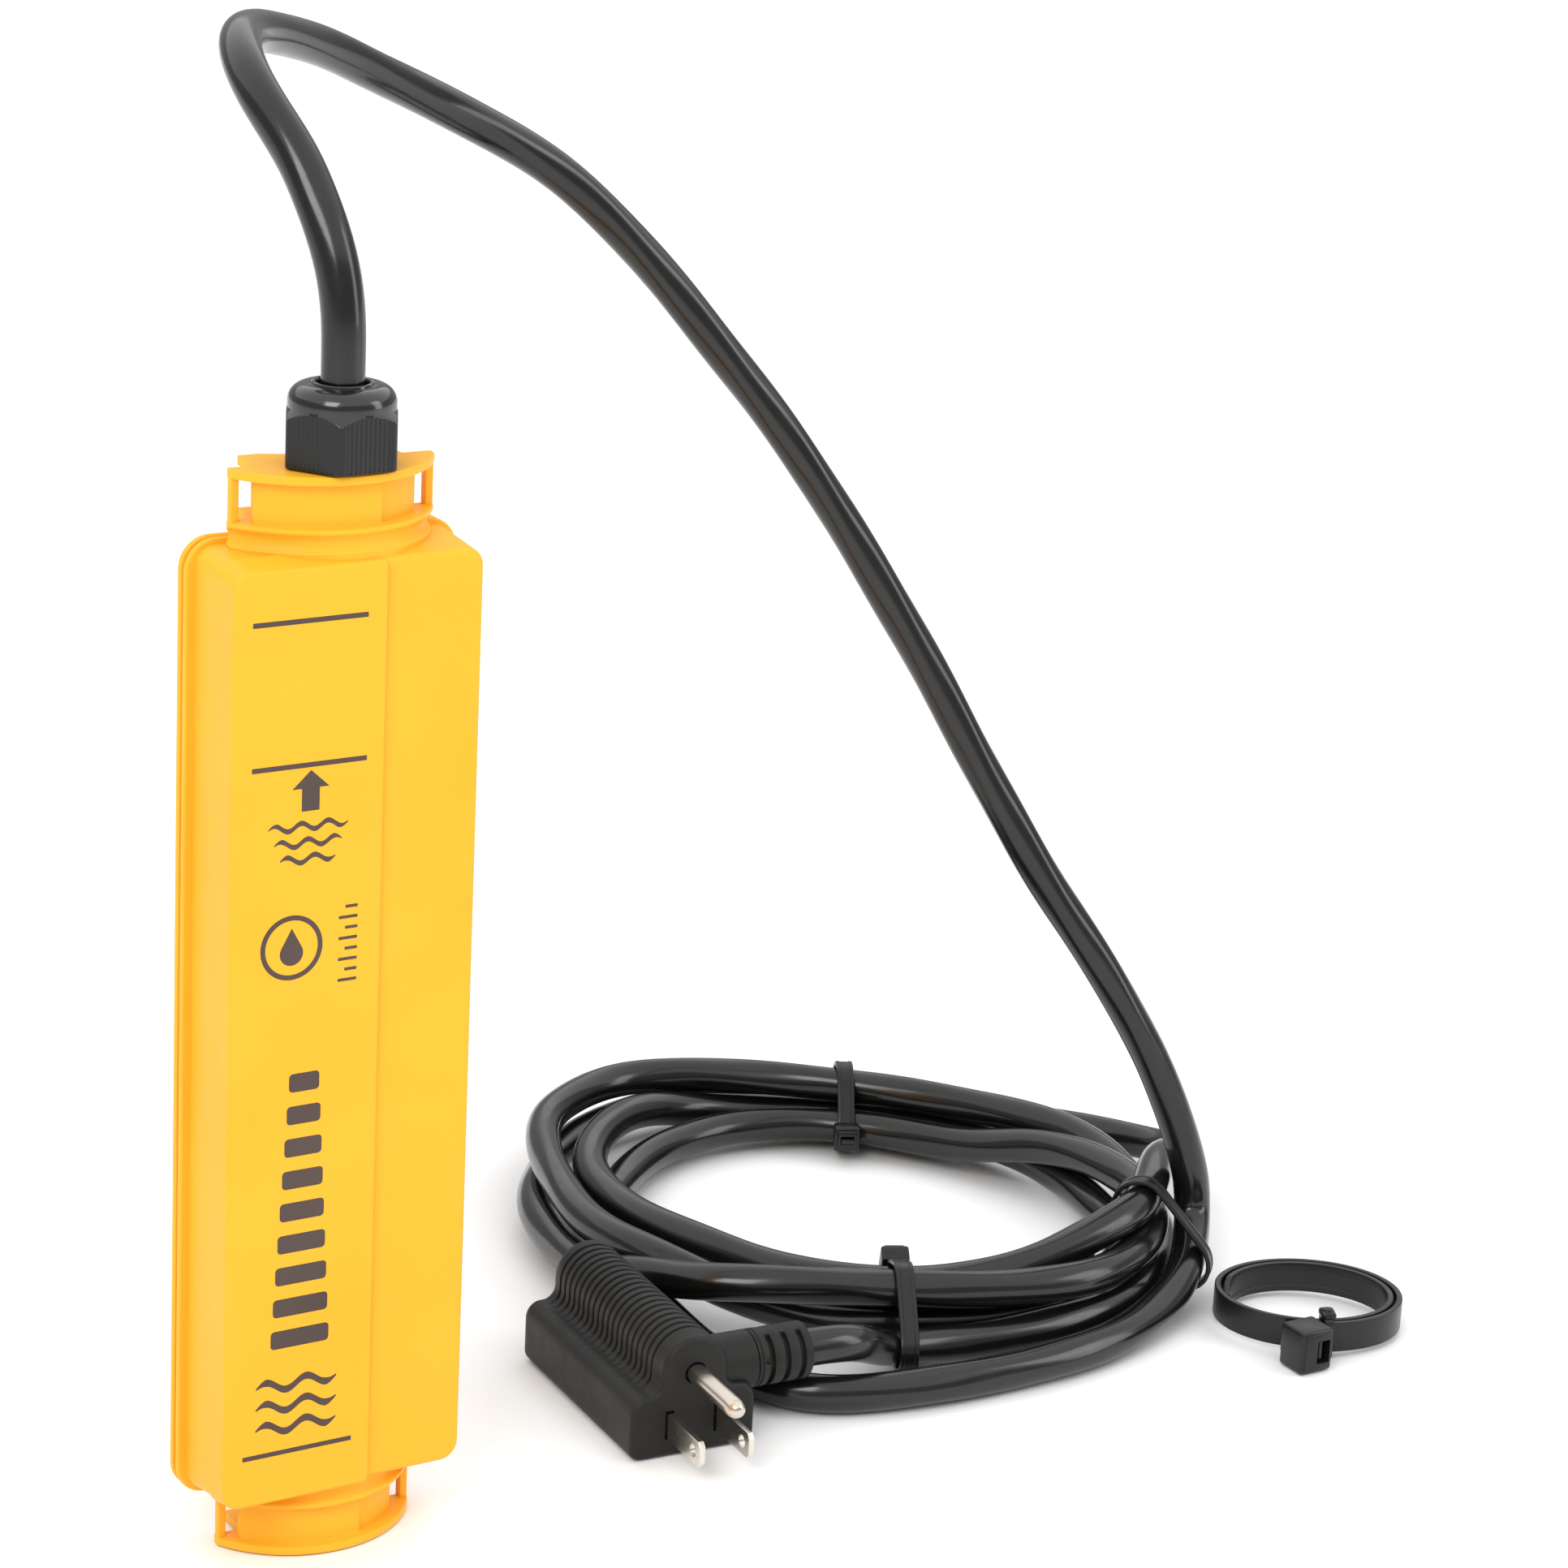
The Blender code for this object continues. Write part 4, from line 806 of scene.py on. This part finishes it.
def coil_tie(name, deg, reach, head_deg, width=4.6, thick=1.2, clear=0.55):
    a = -math.radians(deg + COIL_TURN)
    radial = np.array([math.cos(a), math.sin(a), 0.0])
    along = np.array([-math.sin(a), math.cos(a), 0.0])
    fine = smooth_path(cord, 1.0)
    rel = fine - np.array([COIL_X, COIL_Y, 0.0])
    u, v = rel @ along, rel @ radial
    pick = (np.abs(u) < width / 2 + 0.8) & (v > 20) & (v < reach) & (fine[:, 2] < 60)
    ring = [(r * math.cos(t), r * math.sin(t)) for r in (CORD_R + clear,)
            for t in np.linspace(0, 2 * math.pi, 33)[:-1]]
    inner = hull([(round(float(x + dx), 3), round(float(z + dz), 3))
                  for x, z in zip(v[pick], fine[pick][:, 2]) for dx, dz in ring])
    inner = even(inner, 0.8)
    for _ in range(3):
        inner = (np.roll(inner, 1, 0) + 2 * inner + np.roll(inner, -1, 0)) / 4
    tangent = np.roll(inner, -1, 0) - np.roll(inner, 1, 0)
    tangent /= np.linalg.norm(tangent, axis=1)[:, None]
    normal = np.stack([tangent[:, 1], -tangent[:, 0]], 1)
    inner = inner + 0.12 * normal
    mid = inner.mean(0)
    n = len(inner)
    # band cross-section: flat strap with rounded edges and a shallow outer hollow
    half = width / 2
    shape = [(-half, 0.25), (-half + 0.12, 0.06), (-half + 0.35, 0.0), (half - 0.35, 0.0), (half - 0.12, 0.06), (half, 0.25),
             (half, thick - 0.25), (half - 0.12, thick - 0.06), (half - 0.35, thick), (half - 1.0, thick),
             (half - 1.15, thick - 0.14), (-half + 1.15, thick - 0.14), (-half + 1.0, thick), (-half + 0.35, thick),
             (-half + 0.12, thick - 0.06), (-half, thick - 0.25)]
    origin = np.array([COIL_X, COIL_Y, 0.0])
    rings = []
    for k in range(n):
        row = []
        for w, d in shape:
            q = inner[k] + normal[k] * d
            zz = max(q[1], 0.06 + 0.05 * abs(w) / half) if q[1] < 1.2 else q[1]
            row.append(tuple(origin + radial * q[0] + along * w + np.array([0, 0, zz])))
        rings.append(row)
    band = loft(name + "_band", rings, NYLON, ends="loop")
    h = math.radians(head_deg)
    want = np.array([math.cos(h), math.sin(h)])
    k = int(np.argmax((inner - mid) @ want))
    out_dir = normal[k]
    ang = math.atan2(out_dir[1], out_dir[0])
    # head: stepped block with a mouth, and the clipped tail standing out of it
    head = box(name + "_head", (-3.5, 3.5), (-3.5, 3.5), (-1.4, 3.2), NYLON, bevel=0.7, segments=3)
    step = box(name + "_step", (-2.6, 2.6), (-2.7, 2.7), (2.4, 4.1), bevel=0.5, segments=2)
    mouth = box(name + "_mouth", (-1.1, 1.3), (-1.9, 1.9), (1.6, 6.0), bevel=0.2, segments=1)
    combine(head, [step], [mouth])
    tail = box(name + "_tail", (-0.55, 0.65), (-1.75, 1.75), (0.6, 5.2), NYLON, bevel=0.2, segments=1)
    foot = inner[k]
    place = Matrix.Translation(Vector(origin + radial * foot[0] + np.array([0, 0, foot[1]])) * MM) \
        @ Matrix.Rotation(a, 4, "Z") @ Matrix.Rotation(math.pi / 2 - ang, 4, "Y") \
        @ Matrix.Translation((0, 0, thick * MM))
    mod_objs = []
    for o in (head, tail):
        o.modifiers.clear()
        shift(o, place)
        mod_objs.append(o)
    return join(name, [band] + mod_objs)


for tie, node, deg, reach, head_deg in (("tie_rear", "coil_tie_rear", 265.5, 130, 178),
                                        ("tie_front", "coil_tie_front", 84, 84, 150),
                                        ("tie_side", "coil_tie_side", 15, 130, 192)):
    obj = coil_tie(tie, deg, reach, head_deg)
    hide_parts(node)
    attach(obj, "switch")

# --------------------------------------------------------------------- plug
BLADE_Z, PIN_Z = 8.1, 20.4
PLUG_TURN = Matrix.Translation(Vector(CORD_EXIT) * MM) @ Matrix.Rotation(math.radians(PLUG_TURN_DEG), 4, "Z") \
    @ Matrix.Translation(Vector(CORD_EXIT) * -MM)


def plug_shell():
    half = arc(PLUG_HALF_W - 2.6, 2.6, 2.6, -90, 0, 8) + arc(PLUG_HALF_W - 4.2, 11.4, 4.2, 0, 76, 10) \
        + arc(11.9, 18.8, 3.4, -104, -180, 8) + arc(0, 20.9, 8.5, 0, 90, 18)
    shape = half + [(-x, z) for x, z in reversed(half[:-1])]
    # even points, so that the finger grooves have vertices to follow
    shape = [tuple(p) for p in even(shape, 0.9)]
    mid = (0.0, 14.0)
    y_front, y_back = -4.5, PLUG_BACK
    first, last, count = 0.6, 54.4, 20
    pitch = (last - first) / count
    ys = []
    for k in range(5):
        t = math.pi / 2 * k / 4
        ys.append((y_front + 1.3 * (1 - math.cos(t)), 1.3 * (1 - math.sin(t))))
    y = y_front + 1.9
    while y < first - 0.2:
        ys.append((y, 0.0))
        y += 1.6
    for k in range(count):
        for f in (0.0, 0.2, 0.3, 0.36, 0.43, 0.5, 0.57, 0.64, 0.7, 0.8):
            ys.append((first + pitch * (k + f), 0.0))
    ys.append((last, 0.0))
    for k in range(5):
        t = math.pi / 2 * k / 4
        ys.append((y_back - 2.4 + 2.4 * math.sin(t), 2.4 * (1 - math.cos(t))))
    rings = []
    for y, d in ys:
        ring = []
        for (x, z), (xi, zi) in zip(shape, inset(shape, d) if d > 1e-6 else shape):
            groove = 0.0
            if first <= y <= last and z > 14.9:
                f = ((y - first) / pitch) % 1.0
                wall = min(1.0, (z - 14.9) / 1.6)
                # narrow grooves between broad, slightly crowned ribs
                groove = 1.15 * wall * max(0.0, 1.0 - (abs(f - 0.5) / 0.2) ** 2)
            # the nose is a little slimmer in front of the grooves
            nose = 0.0
            if y < first and z > 14.9:
                nose = 0.2 * min(1.0, (z - 14.9) / 2.0)
            k = (groove + nose) / max(math.hypot(xi - mid[0], zi - mid[1]), 1.0)
            ring.append((PLUG_X + xi - (xi - mid[0]) * k, y, zi - (zi - mid[1]) * k))
        rings.append(ring)
    body = loft("plug_shell", rings, PLUG, smooth=50)
    cuts = []
    for tag, dx in (("n", -6.35), ("h", 6.35)):
        x = PLUG_X + dx
        cuts.append(box("slot_" + tag, (x - 1.1, x + 1.1), (-8, 7), (BLADE_Z - 3.6, BLADE_Z + 3.6)))
        tall = 4.6 if dx < 0 else 3.9
        cuts.append(box("pocket_" + tag, (x - 1.7, x + 1.7), (34, 60), (BLADE_Z - tall, BLADE_Z + tall)))
    cuts.append(rod("slot_g", (PLUG_X, -8, PIN_Z), (PLUG_X, 7, PIN_Z), 2.75))
    cuts.append(rod("pocket_g", (PLUG_X, 34, PIN_Z), (PLUG_X, 60, PIN_Z), 3.6))
    # the boss that the cord's sleeve grows out of
    boss = rod("cord_boss", (PLUG_X + 3, CORD_EXIT[1], CORD_EXIT[2]), (CORD_EXIT[0] - 0.3, CORD_EXIT[1], CORD_EXIT[2]), 7.0,
               sides=96)
    combine(body, [boss], (), smooth=42, weighted=False)
    return combine(body, (), cuts, smooth=42, weighted=False)


def blade(name, dx):
    x = PLUG_X + dx
    o = [(6.6, BLADE_Z - 3.175), (6.6, BLADE_Z + 3.175)]
    tip = [(-20.8, BLADE_Z + 3.175), (-22.0, BLADE_Z + 2.0), (-22.0, BLADE_Z - 2.0), (-20.8, BLADE_Z - 3.175)]
    outline = o + tip
    rings = []
    for e, h in ((0.28, -0.75), (0.08, -0.68), (0.0, -0.5), (0.0, 0.5), (0.08, 0.68), (0.28, 0.75)):
        pts = inset(outline, e)
        rings.append([(x + h, yy, zz) for yy, zz in pts])
    b = loft(name, rings, NICKEL, smooth=30)
    hole = rod(name + "_hole", (x - 3, -18.3, BLADE_Z), (x + 3, -18.3, BLADE_Z), 1.6, sides=48)
    return combine(b, (), [hole], bevel=0.0)


plug = shift(plug_shell(), PLUG_TURN)
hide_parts("plug_body")
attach(plug, "plug")
for name, node, dx in (("blade_neutral", "neutral_blade", -6.35), ("blade_hot", "hot_blade", 6.35)):
    b = shift(blade(name, dx), PLUG_TURN)
    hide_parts(node)
    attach(b, "plug")
pin_prof = [(0.0, -27.4), (0.7, -27.32), (1.3, -27.05), (1.8, -26.5), (2.15, -25.7), (2.35, -24.6), (2.4, -23.4), (2.4, 6.4),
            (2.25, 6.6), (0.0, 6.6)]
pin = shift(turned("pin_ground", pin_prof, (PLUG_X, 0, PIN_Z), PIN, steps=64, axis="Y"), PLUG_TURN)
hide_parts("ground_pin")
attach(pin, "plug")


def relief():
    x0, x1 = 114.0, 128.6
    # three slots on each side between rings, with a web left above and below
    side = [(x1, 6.0), (x1 - 0.15, 6.5), (x1 - 0.45, 6.85), (x1 - 0.9, 6.9)]
    for k in range(3):
        e = x1 - 2.2 - 4.1 * k
        side += [(e, 6.92), (e - 0.06, 6.9), (e - 0.2, 5.7), (e - 1.4, 5.7), (e - 1.54, 6.92), (e - 1.6, 6.94)]
    side += [(x0 + 1.3, 6.98), (x0 + 1.1, 7.0), (x0 + 0.95, 6.78), (x0 + 0.7, 6.74), (x0 + 0.5, 6.8), (x0 + 0.35, 7.0), (x0, 7.0)]
    prof = [(5.15, x1)] + [(r, x) for x, r in side] + [(5.15, x0)]

    def r_of(r, h, a):
        if abs(r - 5.7) < 0.01:
            web = abs((a % math.pi) - math.pi / 2)
            if web < 0.34:
                return 6.92
        return r
    sleeve_ = turned("relief_sleeve", prof, (0, 4.0, 17.5), PLUG, steps=96, axis="X", r_of=r_of)
    # small gate mark on the plain section by the plug
    gate = rod("gate", (x0 + 2.2, 4.0 - 7.6, 17.5 + 1.9), (x0 + 2.2, 4.0 - 5.9, 17.5 + 1.5), 0.8, sides=32)
    return combine(sleeve_, (), [gate], weighted=False)


sleeve = shift(relief(), PLUG_TURN)
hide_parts("strain_relief")
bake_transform(sleeve)

# ------------------------------------------------------- loose strap, binder
SX, SY = 273.6, -7.0
STRAP_R, STRAP_T, Z0, Z1 = 23.9, 1.5, 1.5, 9.4
A0, A1 = 232.0, 232.0 + 640.0


STRAP_LONG, STRAP_SHORT, STRAP_TILT = 1.045, 0.865, math.radians(-31.5)


def lie(x, y):
    """The band's ring lies a little flattened: longer one way, shorter across."""
    c, s = math.cos(STRAP_TILT), math.sin(STRAP_TILT)
    a, b = (x * c + y * s) * STRAP_LONG, (y * c - x * s) * STRAP_SHORT
    return SX + a * c - b * s, SY + a * s + b * c


def strap_coil():
    rings = []
    n = 260
    zm, half = (Z0 + Z1) / 2, (Z1 - Z0) / 2
    for k in range(n + 1):
        f = k / n
        r = STRAP_R - 2.15 * f * (A1 - A0) / 360
        a = math.radians(A0 + (A1 - A0) * f)
        c, s = math.cos(a), math.sin(a)
        squeeze = min(1.0, (1 - f) * n / 10 * 0.5 + 0.5)
        h = half * squeeze
        t = STRAP_T
        sec = [(-t + 0.25, -h), (-0.25, -h), (-0.05, -h + 0.15), (0, -h + 0.4), (0, h - 0.4), (-0.05, h - 0.15), (-0.25, h),
               (-t + 0.25, h), (-t + 0.05, h - 0.15), (-t, h - 0.4), (-t, h - 1.6), (-t + 0.25, h - 1.8),
               (-t + 0.25, -h + 1.8), (-t, -h + 1.6), (-t, -h + 0.4), (-t + 0.05, -h + 0.15)]
        rings.append([(*lie((r + d) * c, (r + d) * s), zm + w) for d, w in sec])
    band = loft("strap_band", rings, NYLON)
    hx, hy = SX - 15.8, SY - 20.8
    head = box("strap_box", (hx - 4.8, hx + 4.8), (hy - 4.5, hy + 4.5), (0.1, 11.2), NYLON, bevel=0.8, segments=3)
    collar_ = box("strap_lip", (hx - 3.9, hx + 4.1), (hy - 5.0, hy - 3.6), (0.9, 10.4), bevel=0.5, segments=2)
    neck = box("strap_neck", (hx - 2.5, hx + 4.2), (hy, hy + 7.2), (Z0 + 0.25, Z1 - 0.25), bevel=0.4, segments=2)
    slot_ = box("strap_mouth", (hx - 0.4, hx + 3.4), (hy - 7, hy - 0.6), (2.6, 8.6), bevel=0.25, segments=1)
    combine(head, [collar_, neck], [slot_], weighted=False)
    pawl = box("strap_pawl", (hx + 0.9, hx + 2.0), (hy - 3.9, hy - 0.9), (3.2, 8.0), NYLON, bevel=0.2, segments=1)
    return join("strap_coil", [band, head, pawl])


strap = strap_coil()
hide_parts("mounting_strap")
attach(strap, "loose_strap")


def binder():
    ba = math.radians(244.7)
    r = STRAP_R - 1.85
    out = rounded(-3.5, 3.5, 0.1, 10.9, 1.2, 6)
    rings = []
    # a flat band bent round the two layers, then its head and clipped end
    ctr = [(x, z) for x, z in even(out, 0.6)]
    inner = inset([tuple(p) for p in ctr], 1.0)
    for (xo, zo), (xi, zi) in zip(ctr, inner):
        rings.append([(xo, -1.05, zo), (xo, 1.05, zo), ((xo * 3 + xi) / 4, 1.25, (zo * 3 + zi) / 4),
                      ((xo + xi * 3) / 4, 1.25, (zo + zi * 3) / 4), (xi, 1.1, zi), (xi, -1.1, zi),
                      ((xo + xi * 3) / 4, -1.25, (zo + zi * 3) / 4), ((xo * 3 + xi) / 4, -1.25, (zo * 3 + zi) / 4)])
    band = loft("binder_band", rings, NYLON, ends="loop")
    knob = box("binder_knob", (-2.4, 2.4), (-1.9, 1.9), (10.2, 12.3), NYLON, bevel=0.8, segments=4)
    cap = turned("binder_cap", [(0, 12.9), (0.8, 12.85), (1.3, 12.6), (1.5, 12.2), (1.5, 11.8), (0, 11.8)], (0, 0, 0), NYLON,
                 steps=32)
    o = join("binder_loop", [band, knob, cap])
    at = math.radians(246.0)
    shift(o, Matrix.Translation(Vector((*lie(r * math.cos(at), r * math.sin(at)), 0)) * MM) @ Matrix.Rotation(ba, 4, "Z"))
    return o


bind = binder()
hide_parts("strap_binder")
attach(bind, "loose_strap")

# --------------------------------------------------------- kept CAD pieces
repaint("gland_bushing", RUBBER)
repaint("gland_clamp_ring", NYLON)
for n_ in ("load_contact", "neutral_contact", "ground_contact"):
    repaint(n_, NICKEL)
repaint("circuit_board", board_material())
for n_ in ("sensor_pad_upper", "sensor_pad_lower"):
    repaint(n_, FOIL)
repaint("heat_sink", ALU)
repaint("terminal_block", plastic("terminal_green", (0.012, 0.20, 0.06), (0.02, 0.27, 0.09), 0.4).m)
repaint("film_capacitor", plastic("capacitor_red", (0.36, 0.018, 0.012), (0.48, 0.03, 0.02), 0.3).m)
repaint("varistor", plastic("varistor_blue", (0.02, 0.06, 0.34), (0.035, 0.10, 0.46), 0.3).m)
for n_ in ("triac", "control_chip"):
    repaint(n_, plastic("epoxy_" + n_, (0.018, 0.018, 0.02), (0.03, 0.03, 0.032), 0.5).m)
repaint("line_wire", plastic("wire_black", (0.01, 0.01, 0.01), (0.02, 0.02, 0.02), 0.35).m)
repaint("neutral_wire", plastic("wire_white", (0.70, 0.70, 0.67), (0.80, 0.80, 0.77), 0.35).m)
repaint("load_wire", plastic("wire_red", (0.42, 0.015, 0.012), (0.55, 0.025, 0.02), 0.35).m)

# ------------------------------------------------------------- floor, lights
bm = bmesh.new()
bmesh.ops.create_grid(bm, x_segments=2, y_segments=2, size=9.0)
floor = finished("studio_floor", bm, None, smooth=0)
floor.location.z = -0.0003
m = Mat("studio_white", 0.9, 0.0, 0.1)
m.colour(m.ramp(m.noise(3.0, 2.0), [(0.3, (0.93, 0.93, 0.93)), (0.7, (0.95, 0.95, 0.95))]))
floor.data.materials.append(m.m)

scene = bpy.context.scene
scene.view_settings.view_transform = "Standard"
world = bpy.data.worlds.new("studio")
scene.world = world
world.use_nodes = True
world.node_tree.nodes["Background"].inputs["Color"].default_value = (1, 1, 1, 1)
world.node_tree.nodes["Background"].inputs["Strength"].default_value = 0.42


def area(name, at, target, size, power, shape_y=None):
    light = bpy.data.lights.new(name, "AREA")
    light.energy = power
    light.size = size
    if shape_y:
        light.shape, light.size_y = "RECTANGLE", shape_y
    o = bpy.data.objects.new(name, light)
    scene.collection.objects.link(o)
    o.location = at
    o.rotation_euler = (Vector(target) - Vector(at)).to_track_quat("-Z", "Y").to_euler()
    return o


area("key", (-1.1, -0.9, 1.3), (0.1, 0.0, 0.12), 0.8, 13.0, 0.8)
area("fill", (1.3, -0.9, 0.7), (0.15, 0.05, 0.12), 0.5, 6.0, 1.2)
area("overhead", (0.9, 1.0, 3.0), (0.9, 1.0, 0.0), 12.0, 410.0)

cam_data = bpy.data.cameras.new("camera")
cam_data.sensor_width = 36.0
cam_data.lens = 5453.2 / 1932.0 * 36.0
cam_data.clip_start, cam_data.clip_end = 0.01, 50.0
cam = bpy.data.objects.new("camera", cam_data)
scene.collection.objects.link(cam)
R = Vector((0.85191337, -0.52136088, 0.04925904))
U = Vector((0.1160678, 0.27970222, 0.95304509))
W = Vector((0.51065829, 0.80619446, -0.29879527))
basis = Matrix((R, U, -W)).transposed().to_4x4()
cam.matrix_world = Matrix.Translation((-0.3985, -0.8081, 0.461)) @ basis
scene.camera = cam
